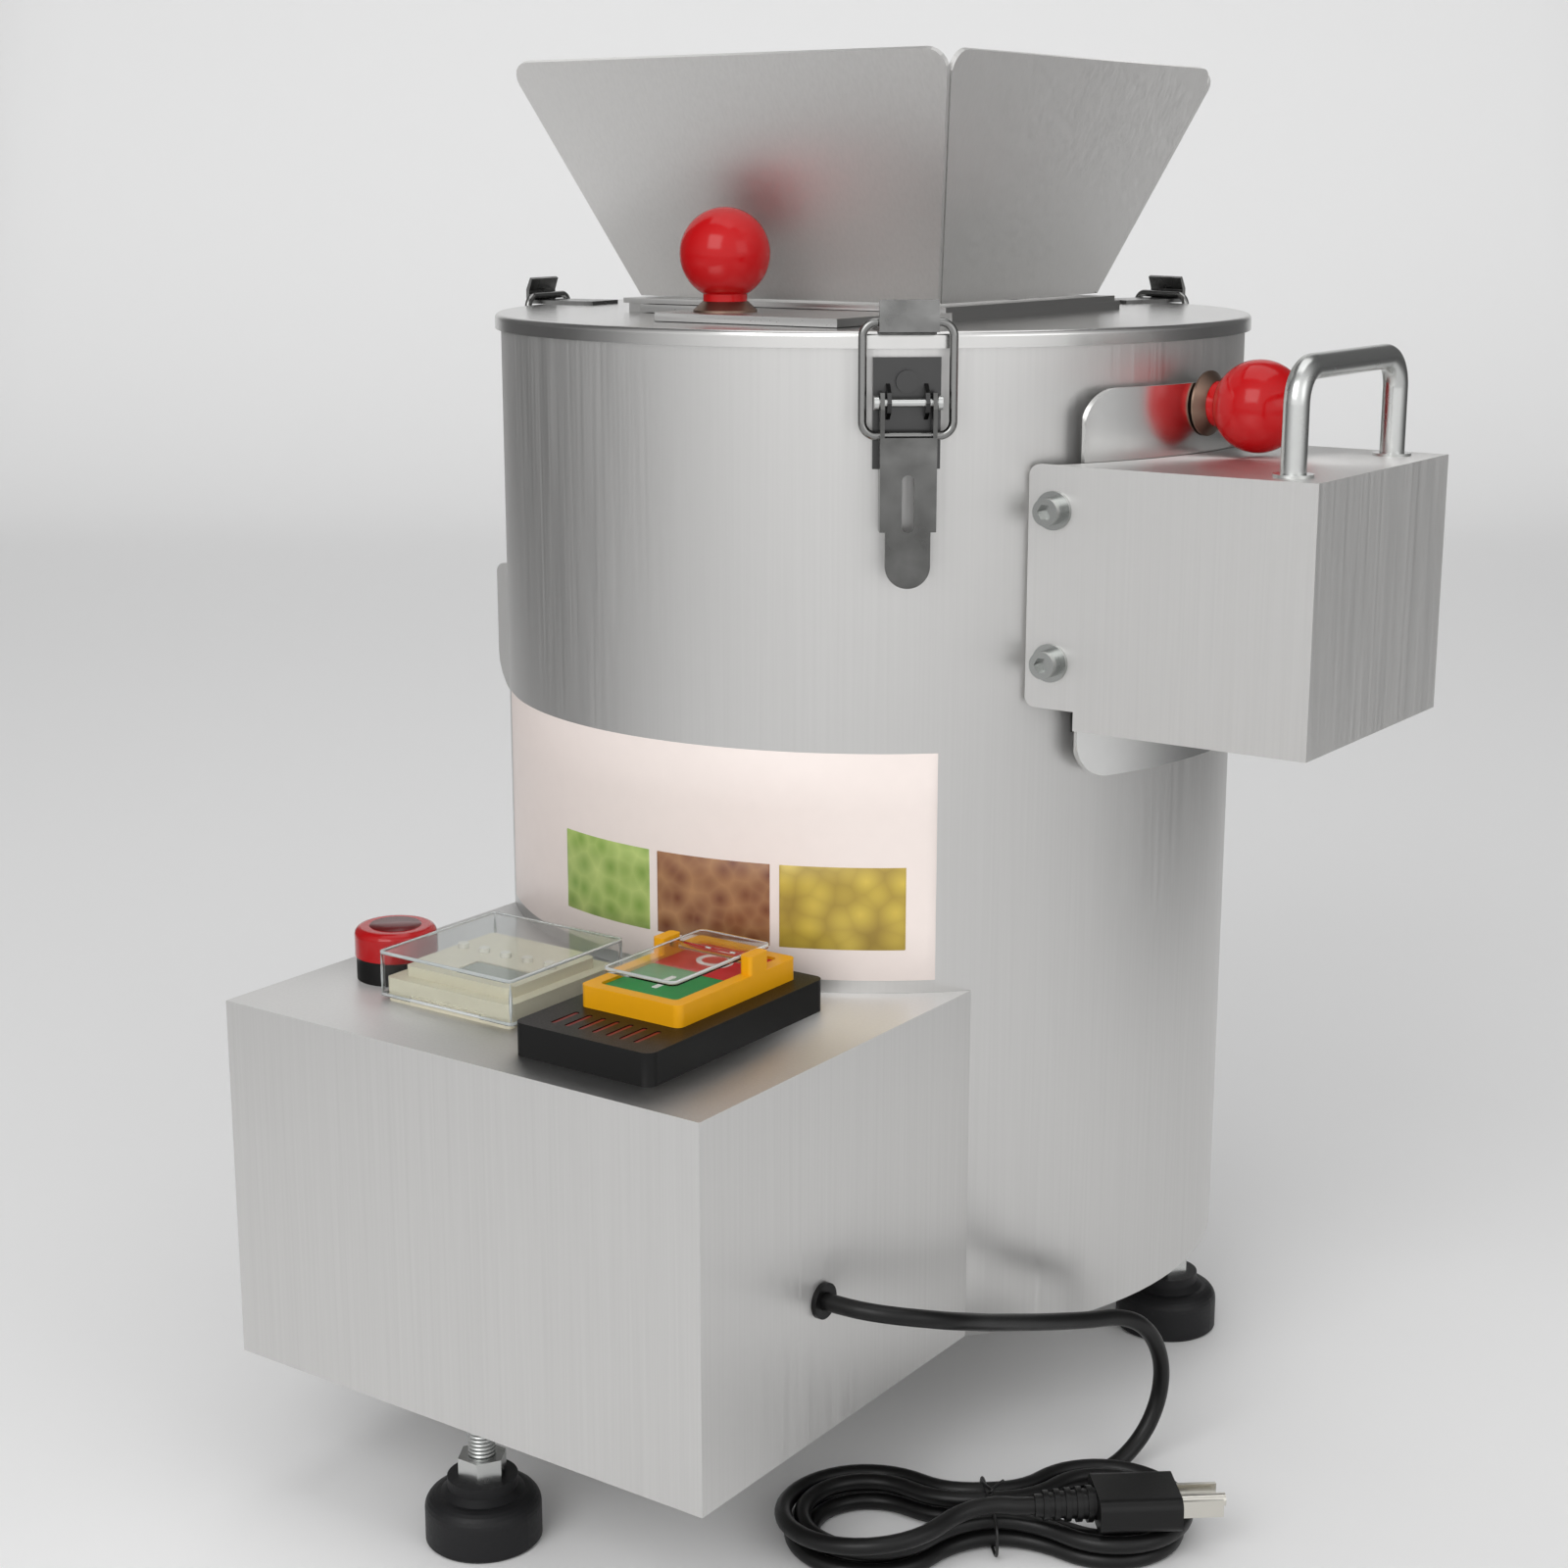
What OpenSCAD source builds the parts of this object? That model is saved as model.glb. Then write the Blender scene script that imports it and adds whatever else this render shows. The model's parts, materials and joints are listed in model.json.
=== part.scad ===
// Chestnut peeling machine: a steel drum with a hopper, a side discharge and a control box.
// Modules work in the drum's frame, whose Z axis is the drum's axis and whose floor is z = 0.
// The whole machine is then moved so that the origin lies under the middle of its outline.

/* [Drum] */
// Outer radius of the drum
drum_r = 150; // [142:1:155]
// Thickness of the drum wall
drum_wall = 2; // [1.5:0.5:3]
// Height of the drum's lower edge above the floor
drum_z0 = 55; // [45:1:70]
// Height of the drum wall
drum_h = 379; // [370:1:395]
// Height of the peeling disc's top above the drum's lower edge
disc_level = 235; // [228:1:240]

/* [Lid and hopper] */
// Width of the hopper's mouth, left to right
mouth_w = 200; // [180:1:230]
// Depth of the hopper's mouth, front to back
mouth_d = 212; // [190:1:230]
// Height of the hopper panels
hopper_h = 89; // [70:1:130]
// Width of the feed throat
throat_w = 126; // [110:1:130]
// Depth of the feed throat
throat_d = 110; // [90:1:114]
// Thickness of hopper, gate and hood sheet
sheet = 2; // [1.5:0.5:3]

/* [Discharge] */
// Distance from the drum's axis to the hood's outer face
hood_x = 235; // [220:1:260]
// Place of the hood's front face, from the drum's axis
hood_y0 = -87; // [-92:1:-84]
// Place of the hood's back face, from the drum's axis
hood_y1 = 30; // [30:1:40]
// Height of the hood
hood_h = 95; // [85:1:110]
// Diameter of the ball knobs
ball_d = 34; // [28:1:35]
// Height of the outlet behind the discharge door
window_h = 72; // [60:1:72]

/* [Control box] */
// Width of the control box
box_w = 218; // [200:1:240]
// Height of the control box
box_h = 139.5; // [120:0.5:160]
// Distance from the drum's skin to the box's front face
box_reach = 118; // [118:1:140]

/* [Cord] */
// Diameter of the mains lead
cord_d = 6.4; // [6:0.1:6.6]

/* [Hidden] */
$fn = 96;
clear = 0.3;
fit = 0.05;
drum_top = drum_z0 + drum_h;
drum_in = drum_r - drum_wall;
box_front = drum_r + box_reach;

// Feet
foot_r = 21.5;
cup_h = 25;
stud_r = 5;
nut_af = 16;
nut_h = 8;
plate_t = 3;
foot_ring = drum_r - 17;
foot_turn = 28;
feet = [[-6, foot_r + 0.5 - box_front],
    foot_ring * [cos(foot_turn), sin(foot_turn)],
    foot_ring * [-cos(foot_turn), sin(foot_turn)]];
stud_top = drum_z0 + plate_t + nut_h + 3;

// Lid
gasket_t = 1;
lid_t = 2;
rim_t = 2;
rim_drop = 4;
rim_r = drum_r + clear + rim_t;
lid_z = drum_top + gasket_t;
lid_top = lid_z + lid_t;

// Feed gate
gate_t = 3;
gate_w = throat_w + 6;
gate_over = 7;
rail_w = 10;
rail_h = gate_t + 2 * clear;
gate_z = lid_top + clear;
tongue_y = -120;
tongue_x0 = -22;
tongue_x1 = 64;
gate_knob_y = -100;
base_z = lid_top + rail_h;
base_t = 2;
hopper_z = base_z + base_t;
foot_w = throat_w + 14;
foot_d = throat_d + 14;

// Ball knobs: flat neck, ball and the tapered nut under it
neck_h = 3;
nut_cone_h = 4;
knob_stud_r = 4;

// Latches: places round the rim and the profile of their pieces
latch_angles = [-52, 68, 188];
latch_pin_x = drum_r + 7;
latch_pin_z = drum_top - 21.4;
latch_pin_r = 1.5;
bail_r = 1.5;
bail_w = 32;
bail_x = drum_r + 5.5;
bail_z = latch_pin_z - 11.6;
strike_w = 21;
strike_t = 1.5;
bar_x = drum_r + 4.8;
bar_z = lid_top + strike_t + bail_r + clear;
lever_w = 20;
lever_t = 1.5;
lever_face = drum_r + 9;
lever_nose = latch_pin_x + 4;

// Discharge
door_in = drum_r + 6.5;
door_t = 2;
door_a0 = -28;
door_a1 = 8;
door_z0 = drum_z0 + 219;
door_z1 = drum_z0 + 361;
window_a0 = -24;
window_a1 = 4;
window_z0 = drum_z0 + disc_level + 6;
window_z1 = window_z0 + window_h;
pad_z0 = window_z0 - 6;
pad_z1 = window_z1 + 6;
door_knob_a = -5;
door_knob_z = door_z1 - 8;
hood_top = drum_z0 + 335;
hood_z0 = hood_top - hood_h;
guide_z0 = hood_z0 + 9;
guide_z1 = hood_top - 6;
guide_t = 2.5;
hood_bolt_z = [hood_top - 16, hood_top - 71];
hood_bolt_r = 3;
hood_bolt_x = [sqrt(drum_r * drum_r - hood_y0 * hood_y0) + 13, drum_r + 8];
hood_in = 100;
handle_r = 4.5;
handle_x = hood_x - 16;
handle_span = 87;
handle_h = 41;
handle_bend = 12;

// Chip hood on the far side of the drum
chip_x = drum_r + 18;
chip_w = 86;
chip_z0 = drum_z0 + 201;
chip_z1 = drum_z0 + 270;

// Peeling chamber and drive
disc_top = drum_z0 + disc_level;
disc_t = 6;
floor_t = 3;
floor_z = disc_top - 28;
shaft_r = 10;
motor_r = 70;
motor_h = 148;
flange_h = 14;
cap_h = 14;
bearing_r = 21;
bearing_h = 12;
housing_h = 16;
knife_n = 12;
knife_t = 3;
knife_deep = 7;
disc_r = drum_in - knife_deep - 4;
motor_bolt_r = 4;
motor_bolt_ring = motor_r - 6;

// Control box and its devices
box_t = 2;
box_x0 = -106;
box_x1 = box_x0 + box_w;
panel_z = drum_z0 + box_h;
buzzer_at = [-76, 59 - box_front];
buzzer_r = 15;
timer_at = [-28, 65 - box_front];
timer_w = 60;
timer_h = 9;
timer_cover_h = 19;
cover_wall = 1.4;
cover_gap = 0.7;
cover_w = timer_w + 2 * (cover_wall + cover_gap);
cover_lift = 2;
knuckle_r = 2.2;
knuckle_w = 16;
lug_w = 6;
cover_pin_r = 1;
cover_axis = [0, cover_w / 2 + knuckle_r + clear, knuckle_r + 0.2];
key_r = 2;
key_n = 5;
switch_at = [box_x0 + box_w * 78 / 109, 67 - box_front];
switch_w = 60;
switch_d = 103;
switch_h = 12;
frame_w = 44;
frame_d = 70;
frame_h = 8;
frame_y = switch_at[1] + 10;
button_w = frame_w - 10 - 2 * clear;
button_d = (frame_d - 10 - 3 * clear) / 2;
flap_gap = 3;
flap_t = 1.6;
peg_y = frame_y + 12;
peg_r = 1.5;
peg_z = panel_z + switch_h + frame_h + 3.5;

// Mains lead: its way out of the box, its free stretch and the hank it is folded into
cord_r = cord_d / 2;
exit_at = [box_x1, 70 - box_front, drum_z0 + 52];
gland_r = 5;
gland_flange = 2;
floor_lie = cord_r;
// Bends of the free stretch, out and back from the exit, with the share of its fall still to come
lead_bends = [
    [-3, 0, 1], [8, 0, 1], [18, 1.6, 0.998], [27, 6.2, 0.989], [34.1, 13.3, 0.971],
    [38.7, 22.3, 0.942], [40.4, 32.4, 0.906], [40.7, 48, 0.846], [41, 64, 0.788],
    [42, 80, 0.732], [44.2, 96, 0.682], [47.3, 110.5, 0.642], [51.4, 125.5, 0.606],
    [55.4, 136.2, 0.551], [58.2, 143.9, 0.458], [59.6, 147.5, 0.341], [59.1, 146.4, 0.218],
    [57, 140.7, 0.11], [53.6, 131.3, 0.034], [49.7, 120.8, 0.002], [45.2, 108.9, 0]
];
lead_route = [for (b = lead_bends)
    [exit_at[0] + b[0], exit_at[1] + b[1], floor_lie + b[2] * (exit_at[2] - floor_lie)]];
hank_at = [exit_at[0] + 35, exit_at[1] + 59, 0];
hank_turn = 39;
steps_per_loop = 24;
spiral_turns_at = 42;
hank_start = 4.5;
hank_end = 90.5;
tail_from = 82;
hank_pitch = cord_d + 0.6;
lobe_r = 20;
lobe_at = 44;
waist_half = 2;
waist_r = (lobe_at * lobe_at + waist_half * waist_half - lobe_r * lobe_r) / 2 / (lobe_r - waist_half);
tie_t = 1.2;
tie_w = 3;
plug_half = 6.5;
plug_lie = 2 * cord_d + 0.6 + clear + plug_half;

// Middle of the outline, which the origin lies under
mid_x = (hood_x - chip_x) / 2;
rear_y = lever_nose * sin(latch_angles[1]) + lever_w / 2 * cos(latch_angles[1]);
mid_y = (rear_y - box_front) / 2;

module placed() {
    translate([-mid_x, -mid_y, 0]) children();
}

// Rounded rectangle, centred, with true arcs at its corners
module round_rect(w, d, r) {
    union() {
        square([w - 2 * r, d], center = true);
        square([w, d - 2 * r], center = true);
        for (sx = [-1, 1], sy = [-1, 1])
            translate([sx * (w / 2 - r), sy * (d / 2 - r)]) circle(r);
    }
}

module round_block(w, d, h, r) {
    linear_extrude(h) round_rect(w, d, r);
}

module ring(r_out, r_in, h) {
    difference() {
        cylinder(r = r_out, h = h);
        translate([0, 0, -1]) cylinder(r = r_in, h = h + 2);
    }
}

// Part of a ring between two angles
module arc_ring(r_in, r_out, h, a0, a1) {
    rotate([0, 0, a0])
        rotate_extrude(angle = a1 - a0)
            translate([r_in, 0]) square([r_out - r_in, h]);
}

module hex_nut(af, h, bore) {
    difference() {
        cylinder(r = af / 2 / cos(30), h = h, $fn = 6);
        translate([0, 0, -1]) cylinder(r = bore, h = h + 2);
    }
}

// Drum
module drum_shell() {
    color("silver") difference() {
        translate([0, 0, drum_z0]) ring(drum_r, drum_in, drum_h);
        translate([0, 0, window_z0])
            arc_ring(drum_in - 8, drum_r + 8, window_z1 - window_z0, window_a0, window_a1);
        translate([-drum_r, 0, floor_z + floor_t + 16])
            cube([40, chip_w - 20, 20], center = true);
        translate([0, 0, drum_z0 + 60]) rotate([90, 0, 0]) cylinder(r = 14, h = drum_r + 10);
    }
}

module base_plate() {
    color("gainsboro") difference() {
        translate([0, 0, drum_z0]) cylinder(r = drum_in - fit, h = plate_t);
        for (i = [1, 2])
            translate([feet[i][0], feet[i][1], drum_z0 - 1]) cylinder(r = stud_r + fit, h = plate_t + 2);
        for (a = [0 : 30 : 330])
            rotate([0, 0, a]) translate([55, 0, drum_z0 - 1]) cylinder(r = 5, h = plate_t + 2);
    }
}

module chamber_floor() {
    color("gainsboro") difference() {
        translate([0, 0, floor_z]) cylinder(r = drum_in - fit, h = floor_t);
        translate([0, 0, floor_z - 1]) cylinder(r = shaft_r + 2, h = floor_t + 2);
        for (a = [0 : 90 : 270])
            rotate([0, 0, a + 45]) translate([motor_bolt_ring, 0, floor_z - 1])
                cylinder(r = motor_bolt_r + fit, h = floor_t + 2);
    }
}

// Upright toothed strips on the chamber wall, left out in front of the outlet
module wall_knives() {
    knife_z = disc_top + 3;
    knife_top = drum_top - 8;
    tooth = 12;
    color("lightsteelblue")
        for (i = [0 : knife_n - 1]) {
            a = 22 + i * (300 / (knife_n - 1));
            rotate([0, 0, a]) translate([drum_in - fit, 0, 0]) rotate([90, 0, 0])
                translate([0, 0, -knife_t / 2])
                    linear_extrude(knife_t) polygon(concat(
                        [[-0.05, knife_z], [-0.05, knife_top]],
                        [for (z = [knife_top : -tooth : knife_z + tooth])
                            each [[-knife_deep, z], [-knife_deep + 3, z - tooth + 0.5]]]));
        }
}

// Drive under the chamber floor
module motor_housing() {
    z1 = floor_z;
    color("slategray") difference() {
        union() {
            translate([0, 0, z1 - flange_h]) cylinder(r = motor_r + 12, h = flange_h);
            translate([0, 0, z1 - flange_h - motor_h]) cylinder(r = motor_r, h = motor_h);
            for (a = [0 : 15 : 345])
                rotate([0, 0, a])
                    translate([motor_r - 1, -1.2, z1 - flange_h - motor_h + 12])
                        cube([7, 2.4, motor_h - 24]);
        }
        translate([0, 0, z1 - 30]) cylinder(r = shaft_r + fit, h = 40);
        for (a = [0 : 90 : 270])
            rotate([0, 0, a + 45]) translate([motor_bolt_ring, 0, z1 - 12])
                cylinder(r = motor_bolt_r + fit, h = 14);
    }
}

module motor_end_cap() {
    z = floor_z - flange_h - motor_h;
    color("dimgray")
        rotate_extrude()
            polygon([
                [0, z], [motor_r - 2, z], [motor_r - 2, z - cap_h + 6],
                [motor_r - 8, z - cap_h], [0, z - cap_h]
            ]);
}

// Bolts that hang the motor from the chamber floor
module motor_bolts() {
    grip = floor_t + 10;
    color("silver") for (a = [0 : 90 : 270])
        rotate([0, 0, a + 45]) translate([motor_bolt_ring, 0, floor_z + floor_t]) {
            cylinder(r = 1.6 * motor_bolt_r / cos(30), h = 5, $fn = 6);
            translate([0, 0, -grip]) cylinder(r = motor_bolt_r, h = grip + 1);
        }
}

module bearing_housing() {
    z = floor_z + floor_t;
    color("gray") difference() {
        translate([0, 0, z]) cylinder(r = bearing_r + 13, h = housing_h);
        translate([0, 0, z + 2]) cylinder(r = bearing_r + fit, h = housing_h);
        translate([0, 0, z - 1]) cylinder(r = shaft_r + 2, h = housing_h);
    }
}

module spindle_bearing() {
    color("lightgray") difference() {
        translate([0, 0, floor_z + floor_t + 2]) ring(bearing_r, shaft_r + fit, bearing_h);
        translate([0, 0, floor_z + floor_t + 2 + bearing_h - 1.5]) ring(bearing_r - 3, shaft_r + 3, 3);
    }
}

module spindle() {
    z0 = floor_z - 29.5;
    color("lightgray") union() {
        translate([0, 0, z0]) cylinder(r = shaft_r, h = disc_top - disc_t - z0);
        translate([0, 0, disc_top - disc_t]) cylinder(r = shaft_r - 3, h = disc_t + 14);
    }
}

module peeling_disc() {
    hub_z = floor_z + floor_t + housing_h + 1;
    color("silver") difference() {
        union() {
            translate([0, 0, disc_top - disc_t]) cylinder(r = disc_r, h = disc_t);
            translate([0, 0, hub_z]) cylinder(r = 24, h = disc_top - disc_t - hub_z);
        }
        translate([0, 0, hub_z - 1]) cylinder(r = shaft_r + fit, h = disc_top - disc_t - hub_z + 1);
        translate([0, 0, disc_top - disc_t - 1]) cylinder(r = shaft_r - 3 + fit, h = disc_t + 2);
        for (a = [0 : 30 : 330])
            rotate([0, 0, a + 15]) translate([100, 0, disc_top - disc_t - 1])
                cylinder(r = 4, h = disc_t + 2);
    }
}

// Saw-toothed bars that stand on the disc
module disc_knives() {
    tooth = 11;
    inner = 28;
    count = 9;
    low = 5;
    high = 10;
    color("lightsteelblue")
        for (a = [0 : 60 : 300])
            rotate([0, 0, a]) translate([0, 2, disc_top]) rotate([90, 0, 0])
                linear_extrude(4) polygon(concat(
                    [[inner + count * tooth, 0], [inner, 0]],
                    [for (i = [0 : count - 1])
                        each [[inner + i * tooth, low], [inner + (i + 1) * tooth, high]]]));
}

module disc_nut() {
    color("silver") difference() {
        translate([0, 0, disc_top]) union() {
            cylinder(r = 15, h = 3);
            cylinder(r = 12 / cos(30), h = 12, $fn = 6);
            translate([0, 0, 12]) rotate_extrude()
                polygon(concat([[0, 0]], [for (a = [0 : 10 : 90]) 11 * [cos(a), 0.7 * sin(a)]]));
        }
        translate([0, 0, disc_top - 1]) cylinder(r = shaft_r - 3 + fit, h = 16);
    }
}

// Lid with a turned-down rim, and the gasket under it
module lid() {
    color("silver") difference() {
        rotate_extrude() polygon(concat(
            [[0, lid_z], [drum_r + clear, lid_z]],
            [[drum_r + clear, lid_z - rim_drop], [rim_r, lid_z - rim_drop]],
            [for (a = [0 : 15 : 90]) [rim_r - lid_t + lid_t * cos(a), lid_top - lid_t + lid_t * sin(a)]],
            [[0, lid_top]]));
        translate([0, 0, lid_z]) cube([throat_w, throat_d, 20], center = true);
    }
}

module lid_gasket() {
    color("dimgray") translate([0, 0, drum_top]) ring(drum_r - fit, drum_in - 2, gasket_t);
}

// Feed gate: rails, sliding plate, knob
module gate_rails() {
    color("gainsboro")
        for (s = [-1, 1])
            translate([s * (gate_w / 2 + clear + rail_w / 2), 4, lid_top + rail_h / 2])
                cube([rail_w, foot_d + 8, rail_h], center = true);
}

module feed_gate() {
    y1 = throat_d / 2 + gate_over;
    color("silver") difference() {
        translate([0, 0, gate_z]) linear_extrude(gate_t)
            polygon([[-gate_w / 2, y1], [gate_w / 2, y1], [gate_w / 2, -foot_d / 2 - 6],
                [tongue_x1, -foot_d / 2 - 10], [tongue_x1, tongue_y], [tongue_x0 + 4, tongue_y],
                [tongue_x0, tongue_y + 5], [tongue_x0, -foot_d / 2 - 10], [-gate_w / 2, -foot_d / 2 - 6]]);
        translate([0, gate_knob_y, gate_z - 1]) cylinder(r = knob_stud_r + fit, h = gate_t + 2);
    }
}

// Tapered nut under a ball knob, with the stud that both knobs turn on
module knob_nut(z_under) {
    union() {
        rotate_extrude() polygon([[0, 0], [12, 0], [12, 0.8], [8.5, nut_cone_h], [0, nut_cone_h]]);
        translate([0, 0, -z_under]) cylinder(r = knob_stud_r, h = z_under + nut_cone_h + 14);
    }
}

// Ball with a short neck, standing on z = 0 and bored for its stud
module ball_knob() {
    rise = ball_d / 2 + neck_h - 2.5;
    difference() {
        union() {
            translate([0, 0, rise]) sphere(d = ball_d);
            cylinder(r = 8.3, h = neck_h + 2);
        }
        translate([0, 0, -20]) cube(40, center = true);
        translate([0, 0, -1]) cylinder(r = knob_stud_r + fit, h = 15.5);
    }
}

module gate_knob_nut() {
    color("rosybrown") translate([0, gate_knob_y, gate_z + gate_t]) knob_nut(gate_t);
}

module gate_knob() {
    color("red") translate([0, gate_knob_y, gate_z + gate_t + nut_cone_h]) ball_knob();
}

// Hopper: base frame on the rails and four sloping panels
module hopper_base() {
    color("gainsboro") translate([0, 0, base_z]) linear_extrude(base_t) difference() {
        square([gate_w + 2 * rail_w, foot_d + 8], center = true);
        square([throat_w, throat_d], center = true);
    }
}

// Outline of a panel, upright from its lower edge, with round upper corners
module panel_outline(low, high, h, r) {
    lean = atan2((high - low) / 2, h);
    x = high / 2 - r * (1 + sin(lean)) / cos(lean);
    polygon(concat(
        [[-low / 2, 0], [low / 2, 0]],
        [for (i = [0 : 6]) let (a = -lean + i * (90 + lean) / 6)
            [x + r * cos(a), h - r + r * sin(a)]],
        [for (i = [6 : -1 : 0]) let (a = -lean + i * (90 + lean) / 6)
            [-x - r * cos(a), h - r + r * sin(a)]]));
}

// One sloping panel, leaning outwards from the throat in the -Y direction
module hopper_panel(low, high, reach0, reach1, inset) {
    run = reach1 - reach0;
    slope = atan2(run, hopper_h);
    length = norm([run, hopper_h]);
    translate([0, -reach0, hopper_z]) rotate([90 + slope, 0, 0]) translate([0, 0, -sheet])
        linear_extrude(sheet) panel_outline(low - 2 * inset, high - 2 * inset, length, 7);
}

module hopper() {
    seam = sheet + clear;
    lift = sheet * sin(atan2((mouth_d - foot_d) / 2, hopper_h));
    color("silver") translate([0, 0, lift]) {
        for (a = [0, 180]) rotate([0, 0, a])
            hopper_panel(foot_w, mouth_w, foot_d / 2, mouth_d / 2, 0);
        for (a = [90, 270]) rotate([0, 0, a])
            hopper_panel(foot_d, mouth_d, foot_w / 2, mouth_w / 2, seam + 0.6);
    }
}

// Over-centre latches. Each piece is drawn in the plane of one latch and turned to its place.
module at_latch(i) {
    rotate([0, 0, latch_angles[i]]) children();
}

// Upright profile in the radial plane, w wide across it
module radial_plate(w) {
    rotate([90, 0, 0]) translate([0, 0, -w / 2]) linear_extrude(w) children();
}

module latch_strikes() {
    trough = bar_x + 3;
    color("gray") for (i = [0 : 2]) at_latch(i)
        radial_plate(strike_w) polygon([
            [drum_r - 24, lid_top], [trough + strike_t, lid_top], [trough + strike_t, lid_top + 6],
            [trough - 0.6, lid_top + 11], [trough - 1.6, lid_top + 10.4], [trough, lid_top + 5.5],
            [trough, lid_top + strike_t], [drum_r - 24, lid_top + strike_t]]);
}

module latch_bases() {
    base_x = drum_r + clear;
    plate = 1.5;
    ear_in = 6;
    color("dimgray") for (i = [0 : 2]) at_latch(i) difference() {
        union() {
            translate([base_x, -12, bail_z - 12]) cube([plate, 24, lid_z - rim_drop - 3 - bail_z + 12]);
            for (s = [-1, 1])
                translate([0, s * (ear_in + plate / 2), 0]) radial_plate(plate)
                    polygon([[base_x, latch_pin_z - 7], [latch_pin_x + 1, latch_pin_z - 3.5],
                        [latch_pin_x + 3.5, latch_pin_z], [latch_pin_x + 1, latch_pin_z + 3.5],
                        [base_x, latch_pin_z + 7]]);
            translate([base_x, 0, latch_pin_z + 7]) rotate([0, 90, 0]) cylinder(r = 4, h = 3.2);
        }
        translate([latch_pin_x, 0, latch_pin_z]) rotate([90, 0, 0])
            cylinder(r = latch_pin_r + fit, h = 40, center = true);
    }
}

module latch_pins() {
    color("silver") for (i = [0 : 2]) at_latch(i)
        translate([latch_pin_x, 0, latch_pin_z]) rotate([90, 0, 0]) {
            cylinder(r = latch_pin_r, h = lever_w + 2, center = true);
            for (s = [-1, 1])
                translate([0, 0, s * (lever_w / 2 + 1.2)]) cylinder(r = 2.6, h = 1.6, center = true);
        }
}

// Channel-shaped lever with a padlock slot and a rounded thumb end
module latch_lever(i) {
    low = latch_pin_z - 45;
    face = lever_face + lever_t;
    cheek = [[face, low], [face, latch_pin_z - 12], [lever_nose, latch_pin_z - 2],
        [latch_pin_x + 2.5, latch_pin_z + 3.6], [latch_pin_x - 2.5, latch_pin_z + 3.6],
        [bail_x - 3.2, bail_z - 3.2], [lever_face - 5, low]];
    color("darkgray") at_latch(i) difference() {
        union() {
            for (s = [-1, 1])
                translate([0, s * (lever_w - lever_t) / 2, 0]) radial_plate(lever_t) polygon(cheek);
            translate([lever_face, 0, low - 12]) rotate([0, 90, 0]) cylinder(r = 8, h = lever_t);
            translate([lever_face, -8, low - 12]) cube([lever_t, 16, 14]);
            translate([lever_face, -lever_w / 2, low]) cube([lever_t, lever_w, 33]);
        }
        for (z = [low + 2 : 16 : low + 18])
            translate([lever_face - 1, 0, z]) rotate([0, 90, 0]) cylinder(r = 2.2, h = 5);
        translate([lever_face - 1, -2.2, low + 2]) cube([5, 4.4, 16]);
        translate([latch_pin_x, 0, latch_pin_z]) rotate([90, 0, 0])
            cylinder(r = latch_pin_r + fit, h = 60, center = true);
        translate([bail_x, 0, bail_z]) rotate([90, 0, 0])
            cylinder(r = bail_r + fit, h = 60, center = true);
    }
}

// Closed wire loop from the lever up to the strike
module latch_bail(i) {
    h = norm([bail_x - bar_x, bar_z - bail_z]);
    lean = atan2(bail_x - bar_x, bar_z - bail_z);
    bend = 5;
    half = bail_w / 2;
    color("silver") at_latch(i)
        translate([bail_x, 0, bail_z]) rotate([0, -lean, 0]) rotate([90, 0, 90]) {
            for (s = [-1, 1]) {
                translate([s * half, bend, 0]) rotate([-90, 0, 0]) cylinder(r = bail_r, h = h - 2 * bend);
                translate([s * (half - bend), h - bend, 0]) rotate([0, 0, s > 0 ? 0 : 90])
                    rotate_extrude(angle = 90) translate([bend, 0]) circle(bail_r);
                translate([s * (half - bend), bend, 0]) rotate([0, 0, s > 0 ? -90 : 180])
                    rotate_extrude(angle = 90) translate([bend, 0]) circle(bail_r);
            }
            for (y = [0, h])
                translate([0, y, 0]) rotate([0, 90, 0])
                    cylinder(r = bail_r, h = bail_w - 2 * bend, center = true);
        }
}

module latch_lever_front() {
    latch_lever(0);
}

module latch_lever_rear() {
    latch_lever(1);
}

module latch_lever_left() {
    latch_lever(2);
}

module latch_bail_front() {
    latch_bail(0);
}

module latch_bail_rear() {
    latch_bail(1);
}

module latch_bail_left() {
    latch_bail(2);
}

// Discharge door: a curved plate with a sealing pad, lifted by its knob
module at_door_middle() {
    rotate([0, 0, (door_a0 + door_a1) / 2]) children();
}

module door_plate() {
    half = (door_a1 - door_a0) / 2;
    width = 2 * (door_in + door_t) * sin(half);
    color("lightgray") difference() {
        at_door_middle() intersection() {
            translate([0, 0, door_z0]) arc_ring(door_in, door_in + door_t, door_z1 - door_z0, -half, half);
            translate([door_in * cos(half) - 6, 0, (door_z0 + door_z1) / 2]) rotate([90, 0, 90])
                round_block(width, door_z1 - door_z0, 40, 14);
        }
        rotate([0, 0, door_knob_a]) translate([door_in - 8, 0, door_knob_z]) rotate([0, 90, 0])
            cylinder(r = knob_stud_r + fit, h = 20);
    }
}

module door_pad() {
    color("dimgray") translate([0, 0, pad_z0])
        arc_ring(drum_r + clear, door_in, pad_z1 - pad_z0, door_a0 + 1, door_a1 - 1);
}

module at_door_knob() {
    rotate([0, 0, door_knob_a]) translate([door_in + door_t, 0, door_knob_z]) rotate([0, 90, 0]) children();
}

module door_knob_nut() {
    color("rosybrown") at_door_knob() translate([0, 0, clear]) knob_nut(door_t + clear);
}

module door_knob() {
    color("red") at_door_knob() translate([0, 0, clear + nut_cone_h]) ball_knob();
}

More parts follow.
